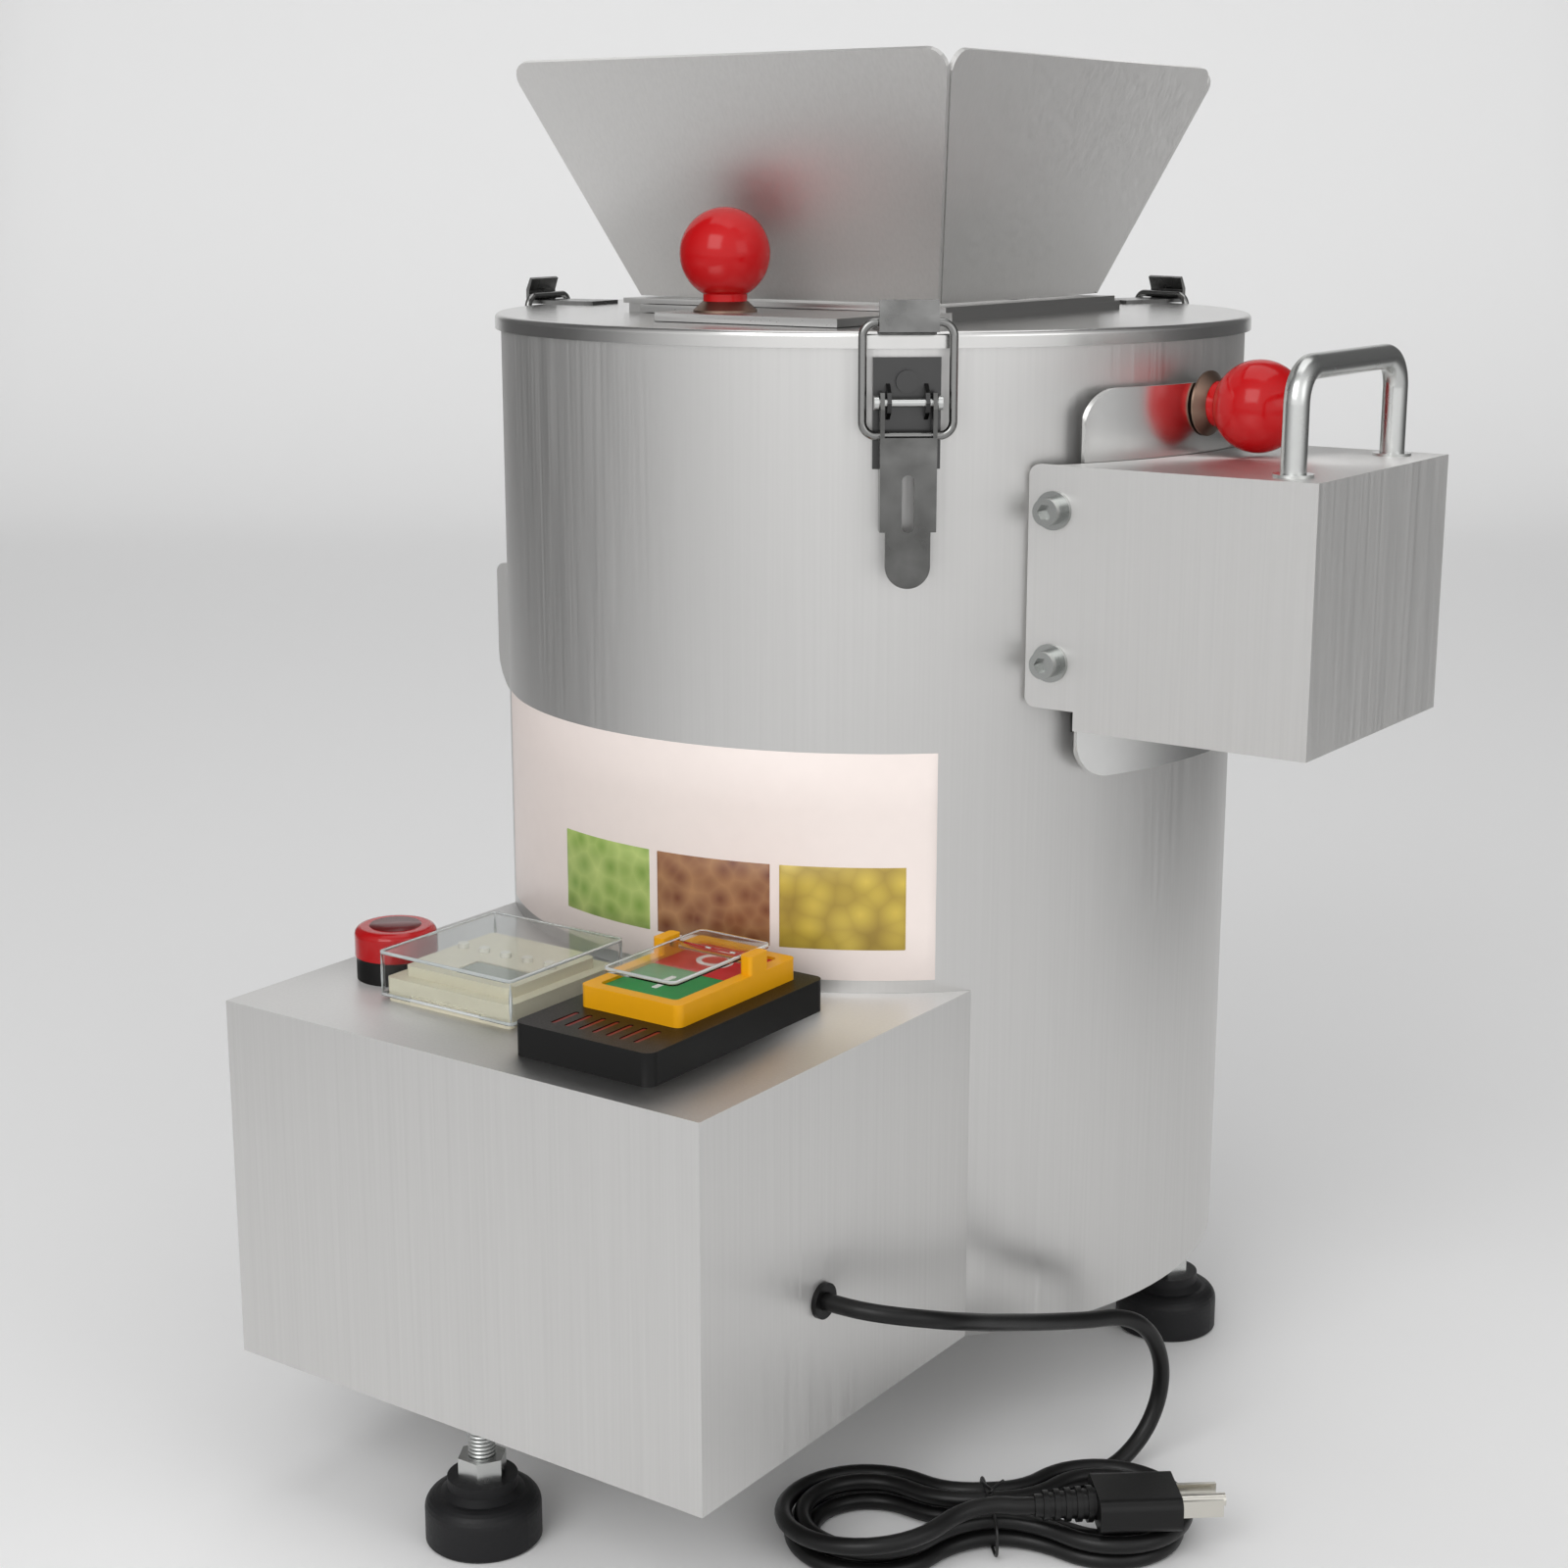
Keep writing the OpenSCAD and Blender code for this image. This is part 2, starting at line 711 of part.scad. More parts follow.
// Two tapped plates on the drum that the hood is screwed to, and two strips with lips that guide the door
module door_guides() {
    h = guide_z1 - guide_z0;
    lip_r = door_in + door_t + clear + 0.2;
    edge_r = lip_r + 1.5;
    run = 0.4;
    hold = 2;
    y0 = hood_y0 + sheet;
    y1 = hood_y1 - sheet - guide_t;
    a0 = asin((y0 + guide_t + clear) / edge_r);
    a1 = asin((y1 - clear) / edge_r);
    color("gainsboro") {
        difference() {
            translate([0, 0, guide_z0]) {
                translate([hood_in, y0, 0]) cube([hood_bolt_x[0] + 11 - hood_in, guide_t, h]);
                translate([hood_in, y1, 0]) cube([hood_bolt_x[1] + 10 - hood_in, guide_t, h]);
            }
            cylinder(r = drum_r + fit, h = 600);
            hood_bolt_holes(hood_bolt_r + fit);
        }
        translate([0, 0, guide_z0]) {
            guide_strip(lip_r, edge_r, h, a0, door_a0 - run, a0, door_a0 + hold);
            guide_strip(lip_r, edge_r, h, door_a1 + run, a1, door_a1 - hold, a1);
        }
    }
}

// Strip with a leg on the drum and a lip over the door's edge, each between two angles
module guide_strip(lip_r, edge_r, h, leg_a0, leg_a1, lip_a0, lip_a1) {
    difference() {
        arc_ring(drum_r + fit, edge_r, h, min(leg_a0, lip_a0), max(leg_a1, lip_a1));
        translate([0, 0, -1]) arc_ring(drum_in, lip_r, h + 2,
            lip_a0 < leg_a0 ? lip_a0 - 5 : leg_a1, lip_a0 < leg_a0 ? leg_a0 : lip_a1 + 5);
    }
}

// Screw holes through the hood's two side plates
module hood_bolt_holes(r) {
    wall = sheet + guide_t + 2;
    for (z = hood_bolt_z) {
        translate([hood_bolt_x[0], hood_y0 - 1, z]) rotate([-90, 0, 0]) cylinder(r = r, h = wall);
        translate([hood_bolt_x[1], hood_y1 + 1, z]) rotate([90, 0, 0]) cylinder(r = r, h = wall);
    }
}

module discharge_hood() {
    depth = hood_y1 - hood_y0;
    slot_r = door_in + door_t + 1.2;
    flange_x = sqrt(pow(drum_r + 1, 2) - pow(hood_y0 + sheet, 2));
    flange_w = 20;
    flange_step = 7;
    flange_r = 4;
    color("silver") difference() {
        union() {
            translate([flange_x, hood_y0 + sheet, hood_z0]) rotate([90, 0, 0]) linear_extrude(sheet) {
                translate([flange_w, 0]) square([hood_x - flange_x - flange_w, hood_h]);
                translate([flange_w, (hood_h + flange_step) / 2])
                    round_rect(2 * flange_w, hood_h - flange_step, flange_r);
            }
            translate([hood_in, hood_y1 - sheet, hood_z0]) cube([hood_x - hood_in, sheet, hood_h]);
            translate([hood_x - sheet, hood_y0, hood_z0]) cube([sheet, depth, hood_h]);
            difference() {
                translate([hood_in, hood_y0, hood_top - sheet]) cube([hood_x - hood_in, depth, sheet]);
                cylinder(r = slot_r, h = 600);
            }
        }
        cylinder(r = drum_r + 1, h = 600);
        hood_bolt_holes(hood_bolt_r + 0.2);
        for (s = [-1, 1])
            translate([handle_x, (hood_y0 + hood_y1) / 2 + s * handle_span / 2, hood_top - 20])
                cylinder(r = 2.6, h = 40);
    }
}

// Socket-head screw with its washer, pointing down the -Z axis from z = 0
module cap_screw() {
    difference() {
        union() {
            cylinder(r = 7, h = 1.4);
            cylinder(r = 5, h = 7);
            translate([0, 0, -sheet - guide_t]) cylinder(r = hood_bolt_r, h = sheet + guide_t + 1);
        }
        translate([0, 0, 3.6]) cylinder(r = 2.6 / cos(30), h = 5, $fn = 6);
    }
}

module hood_bolts() {
    color("lightgray") for (z = hood_bolt_z) {
        translate([hood_bolt_x[0], hood_y0, z]) rotate([90, 0, 0]) cap_screw();
        translate([hood_bolt_x[1], hood_y1, z]) rotate([-90, 0, 0]) cap_screw();
    }
}

module hood_handle() {
    half = handle_span / 2;
    color("lightgray") translate([handle_x, (hood_y0 + hood_y1) / 2, hood_top]) {
        for (s = [-1, 1]) {
            translate([0, s * half, 0]) cylinder(r = handle_r, h = handle_h - handle_r - handle_bend);
            translate([0, s * half, 0]) cylinder(r = handle_r + 2.5, h = 1);
            translate([0, s * half, -sheet - 3]) cylinder(r = 2.5, h = sheet + 4);
            translate([0, s * half, -sheet - 3]) cylinder(r = 5, h = 3);
            translate([0, s * (half - handle_bend), handle_h - handle_r - handle_bend])
                rotate([90, 0, s > 0 ? 90 : -90])
                    rotate_extrude(angle = 90) translate([handle_bend, 0]) circle(handle_r);
        }
        translate([0, 0, handle_h - handle_r]) rotate([90, 0, 0])
            cylinder(r = handle_r, h = handle_span - 2 * handle_bend, center = true);
    }
}

// Shallow hood over the chip slot, open below, with a curved lower corner on its cheeks
module chip_hood() {
    sweep = 30;
    reach = chip_x - drum_r + 50;
    color("silver") difference() {
        translate([0, -chip_w / 2, 0]) rotate([90, 0, 0]) translate([0, 0, -chip_w]) linear_extrude(chip_w)
            polygon(concat(
                [[reach - chip_x, chip_z1], [-chip_x + 4, chip_z1]],
                [for (a = [90 : 15 : 180]) [-chip_x + 4 + 4 * cos(a), chip_z1 - 4 + 4 * sin(a)]],
                [for (a = [0 : 10 : 60])
                    [-chip_x + sweep - sweep * cos(a), chip_z0 + sweep - sweep * sin(a)]],
                [[reach - chip_x, chip_z0 + sweep - sweep * sin(60)]]));
        translate([-chip_x + sheet, -chip_w / 2 + sheet, chip_z0 - 10])
            cube([reach, chip_w - 2 * sheet, chip_z1 - sheet - chip_z0 + 10]);
        cylinder(r = drum_r + fit, h = 600);
    }
}

// Control box in front of the drum
module control_box() {
    color("silver") difference() {
        translate([box_x0, -box_front, drum_z0]) cube([box_w, box_front, box_h]);
        translate([box_x0 + box_t, -box_front + box_t, drum_z0 - 1])
            cube([box_w - 2 * box_t, box_front, box_h - box_t + 1]);
        cylinder(r = drum_r + fit, h = 600);
        translate([buzzer_at[0], buzzer_at[1], panel_z - 10]) cylinder(r = buzzer_r - 4, h = 20);
        translate([timer_at[0], timer_at[1], panel_z])
            cube([timer_w - 12, timer_w - 12, 20], center = true);
        translate([switch_at[0], switch_at[1], panel_z])
            cube([switch_w - 16, switch_d - 16, 20], center = true);
        translate([box_x1 - 10, exit_at[1], exit_at[2]]) rotate([0, 90, 0])
            cylinder(r = gland_r + fit, h = 20);
    }
}

module box_floor() {
    y1 = -sqrt(drum_r * drum_r - box_x0 * box_x0);
    color("gainsboro") difference() {
        translate([box_x0 + box_t + fit, -box_front + box_t + fit, drum_z0])
            cube([box_w - 2 * box_t - 2 * fit, box_front - box_t + y1 - fit, plate_t]);
        cylinder(r = drum_r + fit, h = 600);
        translate([feet[0][0], feet[0][1], drum_z0 - 1]) cylinder(r = stud_r + fit, h = plate_t + 2);
    }
}

// Levelling feet
module foot_cups() {
    neck = 13;
    color("black") for (p = feet) translate([p[0], p[1], 0]) difference() {
        rotate_extrude() polygon(concat(
            [[0, 0], [foot_r - 1, 0], [foot_r, 1], [foot_r, 13]],
            [for (a = [0 : 15 : 90]) [foot_r - 6 + 6 * cos(a) * (foot_r - neck) / 8.5, 13 + 6 * sin(a)]],
            [[neck, 21], [neck, cup_h], [0, cup_h]]));
        translate([0, 0, cup_h - 12]) cylinder(r = stud_r + fit, h = 20);
    }
}

module foot_studs() {
    color("lightgray") for (p = feet)
        translate([p[0], p[1], cup_h - 12]) cylinder(r = stud_r, h = stud_top - cup_h + 12);
}

module foot_nuts() {
    color("lightgray") for (p = feet, z = [cup_h, drum_z0 + plate_t])
        translate([p[0], p[1], z]) hex_nut(nut_af, nut_h, stud_r + fit);
}

// Buzzer
module at_panel(p) {
    translate([p[0], p[1], panel_z]) children();
}

module buzzer_base() {
    color("black") at_panel(buzzer_at) {
        cylinder(r = buzzer_r, h = 9);
        translate([0, 0, -24]) cylinder(r = buzzer_r - 4 - fit, h = 24.5);
    }
}

module buzzer_lens() {
    top = 11;
    edge = 3;
    color("red") at_panel(buzzer_at) translate([0, 0, 9]) rotate_extrude() polygon(concat(
        [[0, 0], [buzzer_r + 0.5, 0]],
        [for (a = [0 : 15 : 90]) [buzzer_r + 0.5 - edge + edge * cos(a), top - edge + edge * sin(a)]],
        [[0, top]]));
}

// Timer with a row of keys under a clear cover that is hinged at its back edge
function key_x(i) = timer_at[0] - 21 + i * 10.5;
key_y = timer_at[1] + 2;
key_hole = key_r + 0.2;
key_rise = 1.4;

module timer_body() {
    color("cornsilk") difference() {
        union() {
            at_panel(timer_at) round_block(timer_w, timer_w, timer_h, 2);
            at_panel(timer_at) translate([0, -1, timer_h - 1])
                round_block(timer_w - 10, timer_w - 12, 5, 2);
            at_panel(timer_at) translate([0, 0, -18]) round_block(timer_w - 13, timer_w - 13, 18.5, 2);
            at_panel(timer_at) for (s = [-1, 1])
                translate([s * (knuckle_w / 2 + clear + lug_w / 2), 0, 0]) cover_lug();
        }
        for (i = [0 : key_n - 1])
            translate([key_x(i), key_y, panel_z + timer_h]) cylinder(r = key_hole, h = 20);
        at_panel([timer_at[0] + 8, timer_at[1] - 14]) translate([0, 0, timer_h + 3])
            round_block(26, 13, 5, 1);
    }
}

// Ear behind the timer that holds one end of the cover's pin
module cover_lug() {
    tongue = cover_lift - clear;
    difference() {
        union() {
            translate([-lug_w / 2, timer_w / 2 - 2, 0])
                cube([lug_w, cover_axis[1] - timer_w / 2 + 2, tongue]);
            translate(cover_axis) rotate([0, 90, 0]) cylinder(r = knuckle_r, h = lug_w, center = true);
        }
        translate(cover_axis) rotate([0, 90, 0])
            cylinder(r = cover_pin_r + fit, h = lug_w + 2, center = true);
    }
}

module timer_keys() {
    color("ivory") for (i = [0 : key_n - 1])
        translate([key_x(i), key_y, panel_z + timer_h + key_rise + clear]) cylinder(r = key_r, h = 4);
}

module timer_cover() {
    inner = cover_w - 2 * cover_wall;
    height = timer_cover_h - cover_lift;
    color([0.9, 0.95, 0.95, 0.4]) at_panel(timer_at) {
        translate([0, 0, cover_lift]) difference() {
            round_block(cover_w, cover_w, height, 2.2);
            translate([0, 0, -1]) round_block(inner, inner, height - cover_wall + 1, 1);
            translate([0, -cover_w / 2, -1]) cube([34, 8, 6], center = true);
        }
        translate([-knuckle_w / 2, (cover_w - cover_wall) / 2, cover_lift])
            cube([knuckle_w, cover_axis[1] - (cover_w - cover_wall) / 2, knuckle_r]);
        translate(cover_axis) rotate([0, 90, 0]) {
            cylinder(r = knuckle_r, h = knuckle_w, center = true);
            cylinder(r = cover_pin_r, h = knuckle_w + 2 * (clear + lug_w), center = true);
        }
    }
}

// Start and stop switch
module switch_base() {
    color("black") difference() {
        union() {
            at_panel(switch_at) round_block(switch_w, switch_d, switch_h, 4);
            at_panel(switch_at) translate([0, 0, -34]) round_block(switch_w - 17, switch_d - 17, 34.5, 3);
        }
        for (i = [0 : 6])
            at_panel([switch_at[0] - 18 + 6 * i, switch_at[1] - switch_d / 2 + 14])
                translate([0, 0, switch_h - 0.6]) round_block(2, 14, 4, 0.9);
        at_panel([switch_at[0], frame_y]) translate([0, 0, switch_h - 8])
            round_block(frame_w - 10, frame_d - 10, 20, 2);
    }
}

module switch_frame() {
    color("gold") difference() {
        union() {
            at_panel([switch_at[0], frame_y]) translate([0, 0, switch_h])
                round_block(frame_w, frame_d, frame_h, 3);
            for (s = [-1, 1])
                at_panel([switch_at[0] + s * (frame_w / 2 - 2.5), peg_y])
                    translate([0, 0, switch_h + frame_h - 1]) round_block(5, 11, 8, 1.5);
        }
        at_panel([switch_at[0], frame_y]) translate([0, 0, switch_h - 1])
            round_block(frame_w - 10, frame_d - 10, 40, 2);
        translate([switch_at[0], peg_y, peg_z]) rotate([0, 90, 0])
            cylinder(r = peg_r + fit, h = frame_w - 4, center = true);
    }
}

module switch_button(y) {
    base = switch_h - 4;
    at_panel([switch_at[0], y]) translate([0, 0, base]) round_block(button_w, button_d, frame_h + 3, 2);
}

module start_button() {
    color("green") switch_button(frame_y - (button_d + clear) / 2);
}

module stop_button() {
    color("red") switch_button(frame_y + (button_d + clear) / 2);
}

// Clear rocking cover that pivots on two pegs above the buttons
module switch_flap() {
    z = switch_h + frame_h + flap_gap;
    w = frame_w - 12;
    color([0.9, 0.95, 0.95, 0.4]) union() {
        at_panel([switch_at[0], frame_y - 1]) translate([0, 0, z + 1.5])
            round_block(w, frame_d - 12, flap_t, 3);
        translate([switch_at[0], peg_y, peg_z]) rotate([0, 90, 0])
            cylinder(r = peg_r, h = frame_w - 5, center = true);
    }
}

// Gland, free stretch, hank, tie and plug of the mains lead
module cord_gland() {
    color("black") translate(exit_at) rotate([0, 90, 0]) difference() {
        union() {
            translate([0, 0, -4]) cylinder(r = gland_r, h = 5);
            cylinder(r = gland_r + 1.5, h = gland_flange);
        }
        translate([0, 0, -5]) cylinder(r = cord_r + fit, h = 20);
    }
}

// Tube swept along a list of points, with a frame carried from ring to ring
function unit(v) = v / norm(v);
function headings(p) = [for (i = [0 : len(p) - 1]) unit(p[min(i + 1, len(p) - 1)] - p[max(i - 1, 0)])];
function carry(t, n, i = 0) = i == len(t) ? [] :
    let (m = unit(n - (n * t[i]) * t[i])) concat([m], carry(t, m, i + 1));

module tube(path, r, sides) {
    t = headings(path);
    n = carry(t, [0, 0, 1]);
    last = len(path) - 1;
    points = [for (i = [0 : last], j = [0 : sides - 1])
        let (a = 360 * j / sides) path[i] + r * (cos(a) * n[i] + sin(a) * cross(t[i], n[i]))];
    walls = [for (i = [0 : last - 1], j = [0 : sides - 1])
        let (k = (j + 1) % sides, lo = i * sides, hi = lo + sides)
            each [[lo + j, hi + j, hi + k], [lo + j, hi + k, lo + k]]];
    caps = [for (j = [1 : sides - 2], end = [0, 1])
        end == 0 ? [0, j, j + 1] : [last * sides, last * sides + j + 1, last * sides + j]];
    polyhedron(points, concat(walls, caps));
}

// A hank loop is two round lobes joined by arcs that draw in to the waist. Loops lie a pitch apart:
// k counts pitches out from the inmost loop, and s runs round a loop in steps_per_loop steps.
lobe_turn = atan2(waist_half + waist_r, -lobe_at);
function on_arc(c, r, a) = [c[0] + r * cos(a), c[1] + r * sin(a)];
function loop_point(s, k) =
    let (lobe = lobe_r + hank_pitch * k, waist = waist_r - hank_pitch * k, swing = 2 * lobe_turn - 180,
        far = [0, waist_half + waist_r])
    s < 4.5 ? on_arc([lobe_at, 0], lobe, lobe_turn * s / 4.5) :
    s < 7.5 ? on_arc(far, waist, lobe_turn - 180 - swing * (s - 4.5) / 3) :
    s < 16.5 ? on_arc([-lobe_at, 0], lobe, 180 - lobe_turn + 2 * lobe_turn * (s - 7.5) / 9) :
    s < 19.5 ? on_arc(-far, waist, lobe_turn - swing * (s - 16.5) / 3) :
    on_arc([lobe_at, 0], lobe, lobe_turn * (s - 24) / 4.5);
function ease(x) = x <= 0 ? 0 : x >= 1 ? 1 : x * x * (3 - 2 * x);
function hank_height(step, u) =
    floor_lie + hank_pitch * ease((step - spiral_turns_at + 6) / 12)
    + (plug_lie - hank_pitch - floor_lie) * ease((step - tail_from) / (hank_end - tail_from))
    + tie_t * exp(-pow(u / 16, 2));
function hank_point(step) =
    let (p = loop_point(step % steps_per_loop, abs(step - spiral_turns_at) / steps_per_loop))
    [p[0], p[1], hank_height(step, p[0])];
hank_steps = [for (step = [hank_start : 1 : hank_end]) hank_point(step)];
lead_in = unit(hank_steps[0] - hank_steps[1]);
lead_out = [1, 0, 0];
lead_flat = unit([lead_in[0], lead_in[1], 0]);
hank_path = concat([hank_steps[0] + cord_d * lead_flat], hank_steps,
    [hank_steps[len(hank_steps) - 1] + cord_d * lead_out]);
hank_gap = min([for (i = [0 : len(hank_path) - 2], j = [i + 4 : 1 : len(hank_path) - 1])
    norm(hank_path[i] - hank_path[j])]) - cord_d;
echo(least_gap_in_hank = hank_gap);  // lead_hank

module at_hank() {
    translate(hank_at) rotate([0, 0, hank_turn]) children();
}

function hank_to_drum(p) = [
    hank_at[0] + p[0] * cos(hank_turn) - p[1] * sin(hank_turn),
    hank_at[1] + p[0] * sin(hank_turn) + p[1] * cos(hank_turn),
    p[2]
];

module mains_lead() {
    color("black") tube(concat(lead_route,
        [hank_to_drum(hank_path[0] + cord_d * lead_flat), hank_to_drum(hank_path[0])]), cord_r, 8);
}

module lead_hank() {
    color("black") at_hank() tube(hank_path, cord_r, 6);
}

// Wire tie round the waist of the hank, under the plug's end of the lead
module hank_tie() {
    inner_w = 2 * (waist_half + 2 * hank_pitch + cord_r + clear);
    inner_h = cord_d + hank_pitch + 2 * clear;
    color("dimgray") at_hank() translate([-tie_w / 2, 0, tie_t + inner_h / 2 - clear]) rotate([90, 0, 90])
        linear_extrude(tie_w) difference() {
            round_rect(inner_w + 2 * tie_t - 2 * clear, inner_h + 2 * tie_t - 2 * clear, 4);
            round_rect(inner_w, inner_h, 3);
        }
}

// Moulded plug that lies on the hank, with a ribbed tail and flat pins
module at_plug() {
    end = hank_path[len(hank_path) - 1];
    at_hank() translate(end) rotate([0, 90, 0]) rotate([0, 0, 90]) children();
}

module plug_body() {
    tail = 22;
    body = 30;
    ribs = 5;
    color("black") at_plug() union() {
        cylinder(r1 = cord_r + 0.8, r2 = cord_r + 2.6, h = tail + 1);
        for (i = [0 : ribs - 1])
            translate([0, 0, 3 + i * 4]) cylinder(r = cord_r + 2.2 + 0.3 * i, h = 2);
        translate([0, 0, tail]) linear_extrude(body) round_rect(26, 2 * plug_half, 4);
    }
}

module plug_pins() {
    color("silver") at_plug() translate([0, 0, 52]) {
        for (s = [-1, 1])
            translate([s * 6.3 - 0.75, -3.2, 0]) cube([1.5, 6.4, 16]);
        cylinder(r = 2.4, h = 18);
    }
}

placed() drum_shell();
placed() base_plate();
placed() chamber_floor();
placed() wall_knives();
placed() motor_housing();
placed() motor_end_cap();
placed() motor_bolts();
placed() bearing_housing();
placed() spindle_bearing();
placed() spindle();
placed() peeling_disc();
placed() disc_knives();
placed() disc_nut();
placed() lid();
placed() lid_gasket();
placed() gate_rails();
placed() hopper_base();
placed() hopper();
placed() feed_gate();
placed() gate_knob_nut();
placed() gate_knob();
placed() latch_strikes();
placed() latch_bases();
placed() latch_pins();
placed() latch_lever_front();
placed() latch_lever_rear();
placed() latch_lever_left();
placed() latch_bail_front();
placed() latch_bail_rear();
placed() latch_bail_left();
placed() door_plate();
placed() door_pad();
placed() door_knob_nut();
placed() door_knob();
placed() door_guides();
placed() discharge_hood();
placed() hood_bolts();
placed() hood_handle();
placed() chip_hood();
placed() control_box();
placed() box_floor();
placed() foot_cups();
placed() foot_studs();
placed() foot_nuts();
placed() buzzer_base();
placed() buzzer_lens();
placed() timer_body();
placed() timer_keys();
placed() timer_cover();
placed() switch_base();
placed() switch_frame();
placed() start_button();
placed() stop_button();
placed() switch_flap();
placed() cord_gland();
placed() mains_lead();
placed() lead_hank();
placed() hank_tie();
placed() plug_body();
placed() plug_pins();
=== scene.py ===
"""Looks of a drum peeling machine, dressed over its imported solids.

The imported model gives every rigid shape. This script adds the finishes, the mains lead, the sheet
label on the drum, the marks and windows of the controls, and a plain studio round them.
"""

from __future__ import annotations

import json
import logging
import math
from dataclasses import dataclass, field
from enum import Enum

import bpy
import numpy as np
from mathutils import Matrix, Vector

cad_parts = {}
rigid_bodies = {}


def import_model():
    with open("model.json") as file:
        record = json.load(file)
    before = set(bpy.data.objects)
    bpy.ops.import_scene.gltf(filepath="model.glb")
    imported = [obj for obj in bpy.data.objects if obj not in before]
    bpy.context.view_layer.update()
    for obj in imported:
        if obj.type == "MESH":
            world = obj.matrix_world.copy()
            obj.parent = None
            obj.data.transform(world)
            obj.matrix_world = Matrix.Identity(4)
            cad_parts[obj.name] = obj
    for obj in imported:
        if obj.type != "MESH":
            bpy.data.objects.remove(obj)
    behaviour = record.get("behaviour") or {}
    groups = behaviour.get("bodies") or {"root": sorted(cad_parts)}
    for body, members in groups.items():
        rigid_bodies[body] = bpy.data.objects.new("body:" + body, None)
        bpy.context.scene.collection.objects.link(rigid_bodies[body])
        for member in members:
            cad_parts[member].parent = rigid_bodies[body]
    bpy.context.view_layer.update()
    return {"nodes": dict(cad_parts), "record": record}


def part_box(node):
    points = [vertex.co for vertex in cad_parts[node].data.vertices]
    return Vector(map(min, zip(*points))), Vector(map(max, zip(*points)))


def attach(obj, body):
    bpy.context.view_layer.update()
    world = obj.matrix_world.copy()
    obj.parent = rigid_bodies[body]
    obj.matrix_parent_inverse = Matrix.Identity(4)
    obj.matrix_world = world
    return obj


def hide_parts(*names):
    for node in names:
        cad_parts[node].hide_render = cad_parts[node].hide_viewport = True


LOG = logging.getLogger("peeler")
MM = 0.001
LINE_STRETCH = 0.012
COAT_ROUGHNESS = 0.08
SKIN_GAP = 0.00002
CORNER_STEPS = 48
Color = tuple[float, float, float]


class Grain(Enum):
    """How a finish is broken up at close range."""

    SMOOTH = "smooth"
    BRUSHED = "brushed"
    CAST = "cast"
    THREAD = "thread"
    MOTTLED = "mottled"


class Body(Enum):
    """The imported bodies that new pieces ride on."""

    MACHINE = "machine"
    START = "start_key"
    STOP = "stop_key"
    COVER = "cover"
    FLAP = "flap"


@dataclass(frozen=True)
class Finish:
    """One surface finish.

    Colour is linear. Grain scale is in repeats per metre, and grain depth in metres. Shade is how
    dark the grain's low spots are, as a share of the colour, where no second colour is given. Lines
    is the axis that a brushed grain runs along.
    """

    name: str
    color: Color
    metallic: float = 0.0
    roughness: float = 0.5
    grain: Grain = Grain.SMOOTH
    grain_scale: float = 160.0
    grain_depth: float = 0.000003
    second: Color | None = None
    shade: float = 0.94
    coat: float = 0.0
    transmission: float = 0.0
    ior: float = 1.5
    streak: float = 0.0
    lines: str = "Z"
    specular: float = 0.5

    def material(self) -> bpy.types.Material:
        """Builds the finish's node tree once and returns its material.

        Returns:
            The material, new or already made.
        """
        known = bpy.data.materials.get(self.name)
        if known is not None:
            return known
        made = bpy.data.materials.new(self.name)
        made.use_nodes = True
        shader = made.node_tree.nodes["Principled BSDF"]
        shader.inputs["Metallic"].default_value = self.metallic
        shader.inputs["Coat Weight"].default_value = self.coat
        shader.inputs["Coat Roughness"].default_value = COAT_ROUGHNESS
        shader.inputs["Transmission Weight"].default_value = self.transmission
        shader.inputs["IOR"].default_value = self.ior
        shader.inputs["Specular IOR Level"].default_value = self.specular
        Weave(made.node_tree, shader).apply(self)
        return made


